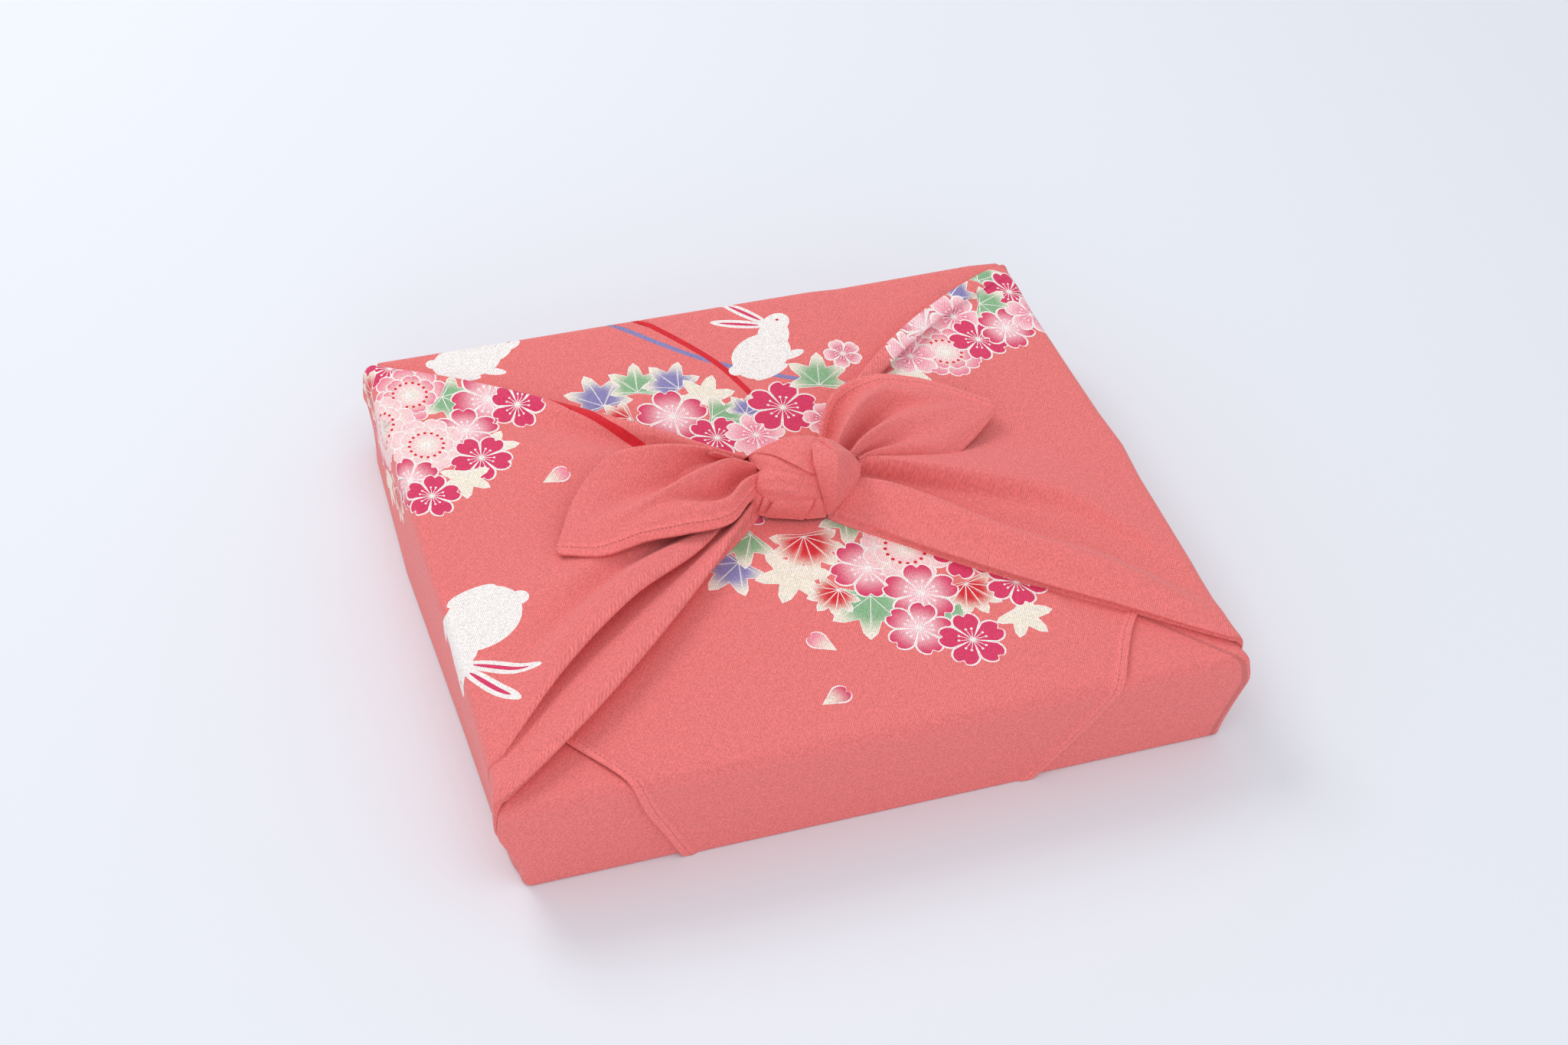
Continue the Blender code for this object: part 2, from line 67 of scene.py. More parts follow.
# %% Sizes of the parcel under the cloth
LAYER = 1.0                             # how far each layer of cloth stands over the one below
DEPTH = high[1] - low[1] - 2 * LAYER    # the flap lies over the front and the back
LENGTH = 270.0
ORIGIN_X = 3.1                          # the wrap's middle lies this far right of the parcel's
UNDER_TOP = 44.0                        # top of the under layer
TOP = UNDER_TOP + LAYER                 # top of the back flap
EDGE_ROUND = 4.0
FOOT_ROUND = 1.2
CORNER_ROUND = 3.0
ROUND = EDGE_ROUND + LAYER              # bend of a layer over the parcel's edge
BEND = ROUND * math.pi / 2              # length of that bend
print("parcel", LENGTH, DEPTH.round(1), UNDER_TOP, "knot", (high[2] - TOP).round(1), "mm over the flap")

# %% How far the short sides stand out past the plain parcel
#    y        at the top   at the floor
LEFT_SIDE = (
    (-111.0,   1.5,        -5.5),
    (-80.0,    0.3,        -3.5),
    (-40.0,    0.0,        -2.6),
    (40.0,     0.0,         0.0),
    (111.0,    0.0,        -2.2),
)
RIGHT_SIDE = (
    (-111.0,   4.5,         4.5),
    (-60.0,    4.0,         1.5),
    (-18.0,    3.8,         0.5),
    (0.0,      4.8,         0.5),
    (18.0,     3.0,         0.5),
    (80.0,    -0.3,         0.0),
    (97.0,    -0.2,        -0.5),
    (104.0,   -1.2,        -0.5),
    (111.0,    0.6,        -0.5),
)
# Ears: cloth left over at each upright corner, folded flat and tucked in
#    side_x side_y  stands out  fades out along Y
EARS = (
    (-1,    -1,     5.0,        16.0),
    (1,     -1,     6.5,        20.0),
    (1,      1,     1.5,        14.0),
    (-1,     1,     2.8,        14.0),
)
EAR_HEIGHT = 29.0
EAR_AT_TOP = 0.45
#    x        rise of the loosely wrapped top at the back edge
BACK_RISE = ((-135.0, 0.3), (-60.0, 0.9), (0.0, 1.6), (48.0, 2.4), (60.0, 1.6), (118.0, 3.4), (135.0, 2.0))
BACK_RISE_REACH = 70.0


def ease(x):
    """Smooth step from 0 to 1."""
    x = np.clip(x, 0.0, 1.0)
    return x * x * (3.0 - 2.0 * x)


def column(rows, k, at):
    """One column of a table, read at places of its first column."""
    return np.interp(at, [row[0] for row in rows], [row[k] for row in rows])


def back_rise(x, y):
    return column(BACK_RISE, 1, x) * ease((y - (DEPTH / 2 - BACK_RISE_REACH)) / BACK_RISE_REACH)


def ear_share(z):
    """How much of an ear stands out at one height."""
    below = np.clip((z - 3.0) / (EAR_HEIGHT - 3.0), 0.0, 1.0) ** 1.2
    above = 1.0 - (1.0 - EAR_AT_TOP) * ease((z - EAR_HEIGHT) / (TOP - EAR_HEIGHT))
    return np.where(z < EAR_HEIGHT, below, above)


def side_out(side, y, z):
    """How far a short side stands out past the plain parcel."""
    rows = LEFT_SIDE if side < 0 else RIGHT_SIDE
    out = column(rows, 2, y)
    out = out + (column(rows, 1, y) - out) * ease(z / UNDER_TOP)
    for side_x, side_y, stands_out, fades in EARS:
        if side_x == side:
            away = np.clip((DEPTH / 2 - side_y * y) / fades, 0.0, 1.0)
            out = out + stands_out * ear_share(z) * (1.0 - away) ** 2
    return out


print("right side stands out", side_out(1, np.array([-100.0, 0.0, 100.0]), np.array(30.0)).round(1), "mm")

# %% [markdown]
# A curve through a few numbers is the basic tool here. Each fold is known at a handful of places, and the
# cloth between them is smooth, so one function reads a table anywhere. It is a cubic that passes through
# each value and takes its slope from the values on both sides.

# %% A smooth curve through a table's values
def smooth_through(places, values, at):
    places, values, at = (np.asarray(part, float) for part in (places, values, at))
    slopes = np.gradient(values, places, axis=0)
    i = np.clip(np.searchsorted(places, at, side="right") - 1, 0, len(places) - 2)
    span = places[i + 1] - places[i]
    f = np.clip((at - places[i]) / span, 0.0, 1.0)
    if values.ndim > 1:
        extra = (1,) * (values.ndim - 1)
        f, span = f.reshape(f.shape + extra), span.reshape(span.shape + extra)
    f2, f3 = f * f, f * f * f
    return (values[i] * (2 * f3 - 3 * f2 + 1) + values[i + 1] * (3 * f2 - 2 * f3)
            + slopes[i] * span * (f3 - 2 * f2 + f) + slopes[i + 1] * span * (f3 - f2))


print("a curve through 0, 2, 1:", smooth_through([0, 1, 2], [0, 2, 1], [0.5, 1.5]).round(2))

# %% [markdown]
# The print is dyed through stencils, so every shape in it has a crisp edge, a flat or shaded colour and a
# fine white line round it. It could be drawn in the shader, but many overlapping flowers make that
# heavy. Here each shape is a small flat polygon in the cloth's own flat measure. Blender's constrained
# triangulation then cuts the sheet along those outlines, so each face of the cloth belongs to one shape
# and carries its colour. The motifs are plain stock ones, each drawn by its own formula.

# %% Dyes of the print
def linear(code):
    """An sRGB hex colour as linear red, green and blue."""
    parts = np.array([int(code[k:k + 2], 16) / 255 for k in (1, 3, 5)])
    return np.where(parts <= 0.04045, parts / 12.92, ((parts + 0.055) / 1.055) ** 2.4)


CORAL = linear("#E57674")
DEEP_PINK = linear("#D63A64")
ROSE = linear("#EC7C97")
BLUSH = linear("#F6C6CB")
CREAM = linear("#EEE4D2")
WHITE = linear("#F0EAE6")
GREEN = linear("#86B387")
IRIS = linear("#8882B4")
SCARLET = linear("#D42430")
print("ground colour, linear:", CORAL.round(3))


# %% Shapes of the print
class Shape:
    """A flat polygon, dyed from inner at its centre to outer at reach from it."""

    def __init__(self, points, inner, outer=None, centre=(0.0, 0.0), reach=1.0, start=0.0):
        points = np.asarray(points, float)
        ahead = np.roll(points, -1, axis=0)
        turns_left = (points[:, 0] * ahead[:, 1] - points[:, 1] * ahead[:, 0]).sum() > 0
        self.points = points if turns_left else points[::-1]
        self.inner, self.outer = inner, inner if outer is None else outer
        self.centre, self.reach, self.start = np.asarray(centre, float), reach, start

    def placed(self, x, y, turn, stretch=(1.0, 1.0)):
        c, s = math.cos(math.radians(turn)), math.sin(math.radians(turn))
        move = np.array(((c, s), (-s, c)))
        size = np.array(stretch)
        return Shape((self.points * size) @ move + (x, y), self.inner, self.outer,
                     (self.centre * size) @ move + (x, y), self.reach, self.start)


def fan(radius, angle, half, notch, shoulder=0.30, steps=12):
    """A petal from the flower's middle: round shoulders and, with notch, a nick in its tip."""
    a = np.linspace(-1, 1, 2 * steps + 1)
    r = radius * (1 - shoulder * np.abs(a) ** 3 - notch * np.exp(-(a / 0.14) ** 2))
    turn = angle + a * half
    return np.vstack([(0.0, 0.0), np.stack([r * np.cos(turn), r * np.sin(turn)], 1)])


def disc(x, y, radius, steps=8):
    a = np.arange(steps) * 2 * math.pi / steps
    return np.stack([x + radius * np.cos(a), y + radius * np.sin(a)], 1)


def line(start, end, width):
    start, end = np.array(start, float), np.array(end, float)
    along = (end - start) / np.linalg.norm(end - start)
    across = np.array((-along[1], along[0])) * width / 2
    return np.array([start - across, end - across * 0.6, end + across * 0.6, start + across])


LINE = 0.55      # white resist line round each petal
THREAD = 0.34    # a stamen


def blossom(radius, rim, heart, notch=0.13, petals=5):
    """A cherry blossom: notched petals inside white lines, and a spray of stamens."""
    shapes = []
    half = math.pi / petals
    for k in range(petals):
        angle = 2 * math.pi * k / petals
        shapes.append(Shape(fan(radius, angle, half * 0.99, notch), WHITE))
    for k in range(petals):
        angle = 2 * math.pi * k / petals
        inside = fan(radius - LINE, angle, half * 0.99 - LINE / (0.62 * radius), notch)
        shapes.append(Shape(inside, heart, rim, (0, 0), radius * 0.95, 0.15))
    for k in range(petals * 3):
        angle = 2 * math.pi * (k + 0.5) / (petals * 3)
        reach = radius * (0.50 if k % 3 == 1 else 0.40)
        tip = (reach * math.cos(angle), reach * math.sin(angle))
        shapes.append(Shape(line((0, 0), tip, THREAD), WHITE))
        shapes.append(Shape(disc(*tip, radius * 0.042, 6), WHITE))
    shapes.append(Shape(disc(0, 0, radius * 0.07), WHITE))
    return shapes


def double_blossom(radius, rim, heart, dots):
    """A many-petalled blossom with a ring of dots round its middle."""
    shapes = []
    for ring, (share, count, turn) in enumerate(((1.0, 8, 0.0), (0.72, 7, 0.4))):
        size = radius * share
        half = math.pi / count * 1.12
        for k in range(count):
            angle = turn + 2 * math.pi * k / count
            shapes.append(Shape(fan(size, angle, half, 0.05, 0.22, 8), WHITE))
            inside = fan(size - LINE * 0.8, angle, half - LINE / (0.8 * size), 0.05, 0.22, 8)
            shapes.append(Shape(inside, heart, rim, (0, 0), size, 0.35))
    shapes.append(Shape(disc(0, 0, radius * 0.43, 24), heart, BLUSH, (0, 0), radius * 0.43, 0.2))
    for k in range(22):
        angle = 2 * math.pi * k / 22
        tip = (radius * 0.33 * math.cos(angle), radius * 0.33 * math.sin(angle))
        shapes.append(Shape(line((0, 0), tip, THREAD * 0.8), WHITE))
    for k in range(16):
        angle = 2 * math.pi * k / 16
        spot = (radius * 0.44 * math.cos(angle), radius * 0.44 * math.sin(angle))
        shapes.append(Shape(disc(*spot, radius * 0.045), dots))
    return shapes


def maple_leaf(radius, middle, lobes=5):
    """A broad leaf of pointed lobes, shaded in its middle, with pale veins."""
    angles = np.radians(np.linspace(-112, 112, lobes))
    lengths = radius * (1 - 0.10 * np.abs(np.linspace(-1, 1, lobes)) ** 2)
    points, gap = [], angles[1] - angles[0]
    for k, (angle, length) in enumerate(zip(angles, lengths)):
        for turn, share in ((-0.35, 0.62), (-0.19, 0.83), (0.0, 1.0), (0.19, 0.83), (0.35, 0.62)):
            points.append((length * share * math.cos(angle + turn), length * share * math.sin(angle + turn)))
        if k < lobes - 1:
            between = angle + gap / 2
            points.append((radius * 0.50 * math.cos(between), radius * 0.50 * math.sin(between)))
    points.append((-radius * 0.30, 0.0))
    edge = np.array(points)
    inner = edge * (1 - LINE / (0.75 * radius))
    shapes = [Shape(edge, WHITE), Shape(inner, middle, CREAM, (0, 0), radius * 0.85, 0.38)]
    for angle, length in zip(angles, lengths):
        tip = (0.78 * length * math.cos(angle), 0.78 * length * math.sin(angle))
        shapes.append(Shape(line((-radius * 0.25, 0), tip, THREAD), WHITE))
    return shapes


def small_leaf(radius, middle):
    """One pointed leaf with its vein."""
    s = np.linspace(0, 1, 13)
    half = radius * 0.42 * np.sin(math.pi * s ** 0.8)
    x = radius * (2 * s - 1)
    edge = np.vstack([np.stack([x, half], 1), np.stack([x, -half], 1)[::-1][1:-1]])
    inner = edge * (1 - LINE / radius * 1.6)
    return [Shape(edge, WHITE), Shape(inner, middle, CREAM, (-radius * 0.2, 0), radius, 0.2),
            Shape(line((-radius, 0), (radius * 0.8, 0), THREAD), WHITE)]


def loose_petal(radius, rim):
    shape = fan(2 * radius, 0.0, 0.50, 0.10)
    inside = fan(2 * radius - LINE, 0.0, 0.50 - LINE / radius * 0.6, 0.10)
    middle = np.array((-radius, 0.0))
    return [Shape(shape + middle, WHITE),
            Shape(inside + middle + (0.3, 0), CREAM, rim, middle, radius * 2.0, 0.2)]


def oval(x, y, long, wide, turn, steps=20):
    a = np.arange(steps) * 2 * math.pi / steps
    c, s = math.cos(math.radians(turn)), math.sin(math.radians(turn))
    p, q = long * np.cos(a), wide * np.sin(a)
    return np.stack([x + c * p - s * q, y + s * p + c * q], 1)


def rabbit(size):
    """A plain white rabbit, sitting up, made of ovals, size being its length without the ears."""
    k = size / 40.0
    parts = [oval(0, 0, 15 * k, 11 * k, 8, 28), oval(-6 * k, -3 * k, 10 * k, 9.5 * k, 0),
             oval(12 * k, 6.5 * k, 9.5 * k, 7 * k, 40), oval(17 * k, 11.5 * k, 7.6 * k, 5.4 * k, 15),
             oval(-15.5 * k, -2 * k, 3.4 * k, 3.0 * k, 0), oval(11 * k, -7.5 * k, 6.5 * k, 2.3 * k, -8),
             oval(-3 * k, -11 * k, 9 * k, 2.6 * k, 0),
             oval(9.5 * k, 25 * k, 12 * k, 2.7 * k, 112), oval(3 * k, 20.5 * k, 12.5 * k, 2.5 * k, 142)]
    shapes = [Shape(points, WHITE) for points in parts]
    shapes.append(Shape(oval(9.7 * k, 24.6 * k, 8.5 * k, 0.9 * k, 112), DEEP_PINK))
    shapes.append(Shape(oval(3.3 * k, 20.2 * k, 9 * k, 0.8 * k, 142), DEEP_PINK))
    shapes.append(Shape(disc(19.2 * k, 13 * k, 0.75 * k), SCARLET))
    return shapes


def silk_cord(points, width, dye):
    """A printed cord: a narrow band along a smooth curve."""
    points = np.array(points, float)
    way = smooth_through(np.arange(len(points)), points, np.linspace(0, len(points) - 1, 24))
    along = np.gradient(way, axis=0)
    across = np.stack([-along[:, 1], along[:, 0]], 1)
    across *= width / 2 / np.linalg.norm(across, axis=1)[:, None]
    return [Shape(np.vstack([way + across, (way - across)[::-1]]), dye)]


MOTIFS = {
    "deep blossom": lambda size: blossom(size, DEEP_PINK, DEEP_PINK),
    "rose blossom": lambda size: blossom(size, DEEP_PINK, BLUSH),
    "pale blossom": lambda size: blossom(size, BLUSH, ROSE),
    "bud": lambda size: blossom(size, BLUSH, DEEP_PINK, 0.06),
    "double blossom": lambda size: double_blossom(size, BLUSH, CREAM, SCARLET),
    "double rose": lambda size: double_blossom(size, ROSE, CREAM, SCARLET),
    "green leaf": lambda size: maple_leaf(size, GREEN),
    "iris leaf": lambda size: maple_leaf(size, IRIS),
    "scarlet leaf": lambda size: maple_leaf(size, SCARLET, 7),
    "cream leaf": lambda size: maple_leaf(size, CREAM),
    "green sprig": lambda size: small_leaf(size, GREEN),
    "deep petal": lambda size: loose_petal(size, DEEP_PINK),
    "petal": lambda size: loose_petal(size, ROSE),
    "rabbit": rabbit,
}


def printed(layout):
    """The shapes of a layout: rows of motif, x, y, size and turn, the lowest ones first."""
    shapes = []
    for motif, x, y, size, turn in layout:
        shapes += [shape.placed(x, y, turn) for shape in MOTIFS[motif](size)]
    return shapes


print(len(MOTIFS), "motifs;", len(blossom(11, ROSE, BLUSH)), "shapes in one blossom")

# %% [markdown]
# A sheet is made from three things in its flat measure: its outline, points spread inside it, and the
# print's shapes. The triangulation returns flat triangles, and says which of the given shapes each one
# lies in. A function then lifts every flat point to its place on the folded cloth.

# %% From a flat cut to a mesh
def cut_sheet(outline, inside, shapes, guides):
    """Flat points, triangles and the number of the topmost shape over each, 0 for none."""
    points = [*outline]
    inputs = [list(range(len(points)))]
    for shape in shapes:
        inputs.append(list(range(len(points), len(points) + len(shape.points))))
        points.extend(shape.points)
    edges = [(len(points) + a, len(points) + b) for a, b in guides]
    points.extend(inside)
    found = delaunay_2d_cdt([Vector(p) for p in points], edges, inputs, 0, 1e-4, True)
    flat, triangles, over = found[0], found[2], found[5]
    kept = [k for k, shapes_here in enumerate(over) if 0 in shapes_here]
    triangles = np.array([triangles[k] for k in kept])
    topmost = np.array([max(over[k]) for k in kept])
    used, index = np.unique(triangles, return_inverse=True)
    flat = np.array([tuple(p) for p in flat])
    return flat[used], index.reshape(triangles.shape), topmost


def dyed(flat, triangles, topmost, shapes):
    """The colour at each corner of each triangle."""
    rows = [Shape(((0, 0),), CORAL)] + list(shapes)
    centre = np.array([row.centre for row in rows])[topmost]
    reach = np.array([row.reach for row in rows])[topmost][:, None]
    start = np.array([row.start for row in rows])[topmost][:, None]
    inner = np.array([row.inner for row in rows])[topmost][:, None]
    outer = np.array([row.outer for row in rows])[topmost][:, None]
    away = np.linalg.norm(flat[triangles] - centre[:, None], axis=2) / reach
    share = ease((away - start) / (1.0 - start))[..., None]
    return inner + (outer - inner) * share


NO_HEM = (0.0, 99.0, 0.0)      # along, in from and off a hem, for cloth that is far from any


def make_mesh(name, points, faces, flat, material, colours=None, hem=None):
    """A smooth mesh from millimetre points, with its flat measure as UV, its dye and its hem's measure."""
    mesh = bpy.data.meshes.new(name)
    shifted = np.asarray(points, float) - (ORIGIN_X, 0.0, 0.0)
    mesh.from_pydata((shifted * MM).tolist(), [], [list(map(int, face)) for face in faces])
    mesh.shade_smooth()
    corners = np.empty(len(mesh.loops), np.int32)
    mesh.loops.foreach_get("vertex_index", corners)
    layer = mesh.uv_layers.new(name="cloth")
    layer.data.foreach_set("uv", (np.asarray(flat)[corners] * MM).ravel())
    dye = mesh.color_attributes.new("dye", "FLOAT_COLOR", "CORNER")
    shades = np.ones((len(corners), 4))
    shades[:, :3] = CORAL
    if colours is not None:
        shades[:len(colours), :3] = colours
    dye.data.foreach_set("color", shades.ravel())
    seam = mesh.attributes.new("hem", "FLOAT_VECTOR", "POINT")
    far = np.tile(NO_HEM, (len(points), 1)) if hem is None else hem
    seam.data.foreach_set("vector", np.asarray(far, float).ravel())
    obj = bpy.data.objects.new(name, mesh)
    bpy.context.scene.collection.objects.link(obj)
    mesh.materials.append(material)
    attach(obj, "root")
    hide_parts(NODE)
    area = sum(p.area for p in mesh.polygons)
    print(f"{name}: {len(mesh.polygons)} faces, {area * 1e4:.0f} cm2")
    return obj, area


def spread(low_x, high_x, low_y, high_y, pitch):
    """Points of an even grid, alternate rows set off by half a step."""
    xs = np.arange(low_x, high_x, pitch)
    ys = np.arange(low_y, high_y, pitch * 0.87)
    grid_x, grid_y = np.meshgrid(xs, ys)
    grid_x[1::2] += pitch / 2
    return np.stack([grid_x.ravel(), grid_y.ravel()], 1)


def within(points, outline, margin):
    """The points inside an outline, and not so near to it that they would crowd it."""
    inside = np.zeros(len(points), bool)
    near = np.full(len(points), np.inf)
    for (x0, y0), (x1, y1) in zip(outline, np.roll(outline, -1, axis=0)):
        across = (points[:, 1] < y0) != (points[:, 1] < y1)
        with np.errstate(divide="ignore", invalid="ignore"):
            inside ^= across & (points[:, 0] < x0 + (points[:, 1] - y0) * (x1 - x0) / (y1 - y0))
        edge = np.array((x1 - x0, y1 - y0))
        along = np.clip(((points - (x0, y0)) @ edge) / max(edge @ edge, 1e-9), 0, 1)
        near = np.minimum(near, np.linalg.norm(points - (x0, y0) - along[:, None] * edge, axis=1))
    return points[inside & (near > margin)]


print("grid helper:", len(spread(0, 10, 0, 10, 2.0)), "points on 10 x 10 mm")

# %% [markdown]
# Crepe is woven plain, but its weft is twisted so hard that the cloth crinkles into tiny pebbles when it
# is washed. Up close it shows short slanting ribs under a millimetre wide, which scatter light, so it
# looks matt with a soft bloom along its folds. A wave texture on the slant gives the ribs, a fine noise
# breaks them into pebbles, a slower one gives the crinkle and the dye's unevenness, and sheen the bloom.
# The ribs are bumps, and they are also painted into the colour: darker in their hollows and paler on their
# tops, as painted shade and light.

# %% One node at a time
def add_node(tree, kind, settings=None, **links):
    """Adds a node, sets its properties and its sockets, and links what is given as an output."""
    node = tree.nodes.new(kind)
    for key, value in (settings or {}).items():
        setattr(node, key, value)
    for key, value in links.items():
        numbered = key[0] == "_" and key[1:].isdigit()
        socket = node.inputs[int(key[1:]) if numbered else key.replace("_", " ")]
        if isinstance(value, bpy.types.NodeSocket):
            tree.links.new(value, socket)
        else:
            socket.default_value = value
    return node


GRAIN = 0.72         # mm between the slanting ribs of the crepe, drawn a little coarser than the real 0.5
STITCH = 1.7         # mm from one hem stitch to the next
STITCH_IN = 2.3      # mm from the edge to the row of stitches


def crepe(name, stitched=False):
    """Printed crepe: matt, finely ribbed on the slant with painted shade in the ribs, with a soft sheen, and
    a stitched hem where asked, with painted shade in its stitches and a painted highlight on its double
    band.
    """
    material = bpy.data.materials.new(name)
    material.use_nodes = True
    tree = material.node_tree
    shader = tree.nodes["Principled BSDF"]
    shader.inputs["Roughness"].default_value = 0.82
    shader.inputs["IOR"].default_value = 1.45
    shader.inputs["Specular IOR Level"].default_value = 0.25
    shader.inputs["Sheen Weight"].default_value = 0.2
    shader.inputs["Sheen Roughness"].default_value = 0.5
    shader.inputs["Sheen Tint"].default_value = (1.0, 0.75, 0.75, 1.0)
    flat = add_node(tree, "ShaderNodeUVMap", {"uv_map": "cloth"}).outputs["UV"]
    slant = add_node(tree, "ShaderNodeMapping", {"vector_type": "POINT"}, Vector=flat,
                     Rotation=(0, 0, math.radians(-58.0)), Scale=(1 / MM, 1 / MM, 1.0)).outputs["Vector"]
    weave = add_node(tree, "ShaderNodeTexWave", {"bands_direction": "Y"}, Vector=slant,
                     Scale=math.pi / (10 * GRAIN), Distortion=3.2, Detail=2.0,
                     Detail_Scale=1.6).outputs["Fac"]
    pebble = add_node(tree, "ShaderNodeTexNoise", {"noise_dimensions": "2D"}, Vector=slant,
                      Scale=1 / (1.2 * GRAIN), Detail=1.0).outputs["Fac"]
    ribs = add_node(tree, "ShaderNodeMath", {"operation": "MULTIPLY_ADD"}, _0=weave, _1=0.45,
                    _2=pebble).outputs[0]
    crinkle = add_node(tree, "ShaderNodeTexNoise", {"noise_dimensions": "2D"},
                       Vector=flat, Scale=1 / (2.4 * MM), Detail=2.0, Distortion=0.6).outputs["Fac"]
    dye = add_node(tree, "ShaderNodeAttribute", {"attribute_name": "dye"}).outputs["Color"]
    # painted shade and light: the colour is darker in the ribs' hollows and paler on their tops, as if lit
    painted_rib_shade = add_node(tree, "ShaderNodeMapRange", Value=ribs, From_Min=0.40, From_Max=1.05,
                     To_Min=0.80, To_Max=1.16).outputs[0]
    patchy = add_node(tree, "ShaderNodeMapRange", Value=crinkle, From_Min=0.3, From_Max=0.7,
                      To_Min=0.955, To_Max=1.045).outputs[0]
    shade = add_node(tree, "ShaderNodeMath", {"operation": "MULTIPLY"}, _0=painted_rib_shade, _1=patchy).outputs[0]
    tinted = add_node(tree, "ShaderNodeVectorMath", {"operation": "SCALE"}, _0=dye, Scale=shade).outputs[0]
    height = add_node(tree, "ShaderNodeMath", {"operation": "MULTIPLY_ADD"},
                      _0=crinkle, _1=0.8, _2=ribs).outputs[0]
    if stitched:
        seam = add_node(tree, "ShaderNodeAttribute", {"attribute_name": "hem"}).outputs["Vector"]
        parts = add_node(tree, "ShaderNodeSeparateXYZ", Vector=seam)
        from_row = add_node(tree, "ShaderNodeMath", {"operation": "SUBTRACT"},
                            _0=parts.outputs["Y"], _1=STITCH_IN)
        # painted highlight: the raised double hem is painted paler, as if it caught the light
        doubled = add_node(tree, "ShaderNodeMapRange", Value=parts.outputs["Y"], From_Min=3.4, From_Max=4.2,
                           To_Min=1.08, To_Max=1.0).outputs[0]          # painted highlight on the double hem
        tinted = add_node(tree, "ShaderNodeVectorMath", {"operation": "SCALE"},
                          _0=tinted, Scale=doubled).outputs[0]
        off_row = add_node(tree, "ShaderNodeMath", {"operation": "ABSOLUTE"}, _0=from_row.outputs[0])
        in_row = add_node(tree, "ShaderNodeMapRange", Value=off_row.outputs[0], From_Min=0.10, From_Max=0.28,
                          To_Min=1.0, To_Max=0.0)
        step = add_node(tree, "ShaderNodeMath", {"operation": "DIVIDE"}, _0=parts.outputs["X"], _1=STITCH)
        part = add_node(tree, "ShaderNodeMath", {"operation": "FRACT"}, _0=step.outputs[0])
        gap = add_node(tree, "ShaderNodeMapRange", Value=part.outputs[0], From_Min=0.55, From_Max=0.68,
                       To_Min=0.42, To_Max=0.08)
        stitch_dent_and_shade = add_node(tree, "ShaderNodeMath", {"operation": "MULTIPLY"},
                          _0=in_row.outputs[0], _1=gap.outputs[0]).outputs[0]
        # each stitch is a dent in the bump plus painted shade: its colour is pulled to a dark coral where
        # shade would lie in the dent
        tinted = add_node(tree, "ShaderNodeMix", {"data_type": "RGBA"}, _0=stitch_dent_and_shade, _6=tinted,
                          _7=(*(CORAL * 0.30), 1.0)).outputs[2]
        height = add_node(tree, "ShaderNodeMath", {"operation": "MULTIPLY_ADD"},
                          _0=stitch_dent_and_shade, _1=-2.4, _2=height).outputs[0]
    bump = add_node(tree, "ShaderNodeBump", Height=height, Strength=0.7, Distance=0.14 * MM)
    tree.links.new(tinted, shader.inputs["Base Color"])
    tree.links.new(bump.outputs["Normal"], shader.inputs["Normal"])
    return material


PLAIN_CREPE = crepe("dyed crepe")
HEMMED_CREPE = crepe("dyed crepe, stitched hem", stitched=True)
print("crepe nodes:", len(HEMMED_CREPE.node_tree.nodes))

# %% [markdown]
# A cut edge of cloth is never sharp. A hem is turned under twice, and a bias edge rolls by itself. So
# the flap and the arms end in a few more rows of points that roll over and tuck under their edge. They
# are single surfaces, and that rolled edge is what makes them look as thick as cloth.

# %% Rolling a sheet's edge under
def rolled_rim(loop, up, flat_loop, radius, drop, inset):
    """Rows of points that turn a closed edge under, and their flat places."""
    along = np.roll(loop, -1, axis=0) - np.roll(loop, 1, axis=0)
    out = np.cross(along, up)
    out /= np.linalg.norm(out, axis=1)[:, None] + 1e-9
    flat_along = np.roll(flat_loop, -1, axis=0) - np.roll(flat_loop, 1, axis=0)
    flat_out = np.stack([flat_along[:, 1], -flat_along[:, 0]], 1)
    flat_out /= np.linalg.norm(flat_out, axis=1)[:, None] + 1e-9
    radius, drop, inset = (np.broadcast_to(value, len(loop))[:, None] for value in (radius, drop, inset))
    rows, flats = [], []
    for angle in (40, 80, 120, 160):
        a = math.radians(angle)
        rows.append(loop - up * radius * (1 - math.cos(a)) + out * radius * math.sin(a))
        flats.append(flat_loop + flat_out * radius * a)
    rows.append(rows[-1] - up * drop - out * inset)
    flats.append(flats[-1] + flat_out * (drop + inset))
    return rows, flats


def sheet_piece(name, outline, inside, shapes, space, material, rim, hem=None, guides=()):
    """One sheet: cut flat, lifted by space to its folded place, and rolled under at its edge."""
    flat, triangles, topmost = cut_sheet(outline, inside, shapes, guides)
    edge = np.array([np.argmin(((flat - p) ** 2).sum(1)) for p in outline])
    points, up = space(flat)
    rows, flats = rolled_rim(points[edge], up[edge], flat[edge], *rim(flat[edge]))
    faces = triangles.tolist()
    count = len(edge)
    before = edge
    for k, _ in enumerate(rows):
        after = len(points) + k * count + np.arange(count)
        for i in range(count):
            j = (i + 1) % count
            faces.append((before[j], before[i], after[i], after[j]))
        before = after
    corner_dyes = dyed(flat, triangles, topmost, shapes).reshape(-1, 3)
    seam = None
    if hem is not None:
        seam = np.vstack([hem(flat)] + [np.tile(NO_HEM, (count, 1))] * len(rows))
    return make_mesh(name, np.vstack([points, *rows]), faces, np.vstack([flat, *flats]), material,
                     corner_dyes, seam)


tried = rolled_rim(np.eye(4, 3), np.tile((0, 0, 1.0), (4, 1)), np.eye(4, 2), 1, 1, 1)
print("rim rows for a 2 mm square:", len(tried[0]))

# %% [markdown]
# The under layer is the middle of the square: it lies under the parcel and goes up its four sides. At
# each upright corner there is cloth left over, which the wrapper folds to a small flat ear and tucks in.
# It is built as rings from the floor up and a little way in over the top. The middle of the top stays
# open, because the flap covers it.

# %% The under layer
RING_STEPS = (100, 120)      # points along a short side and along a long side


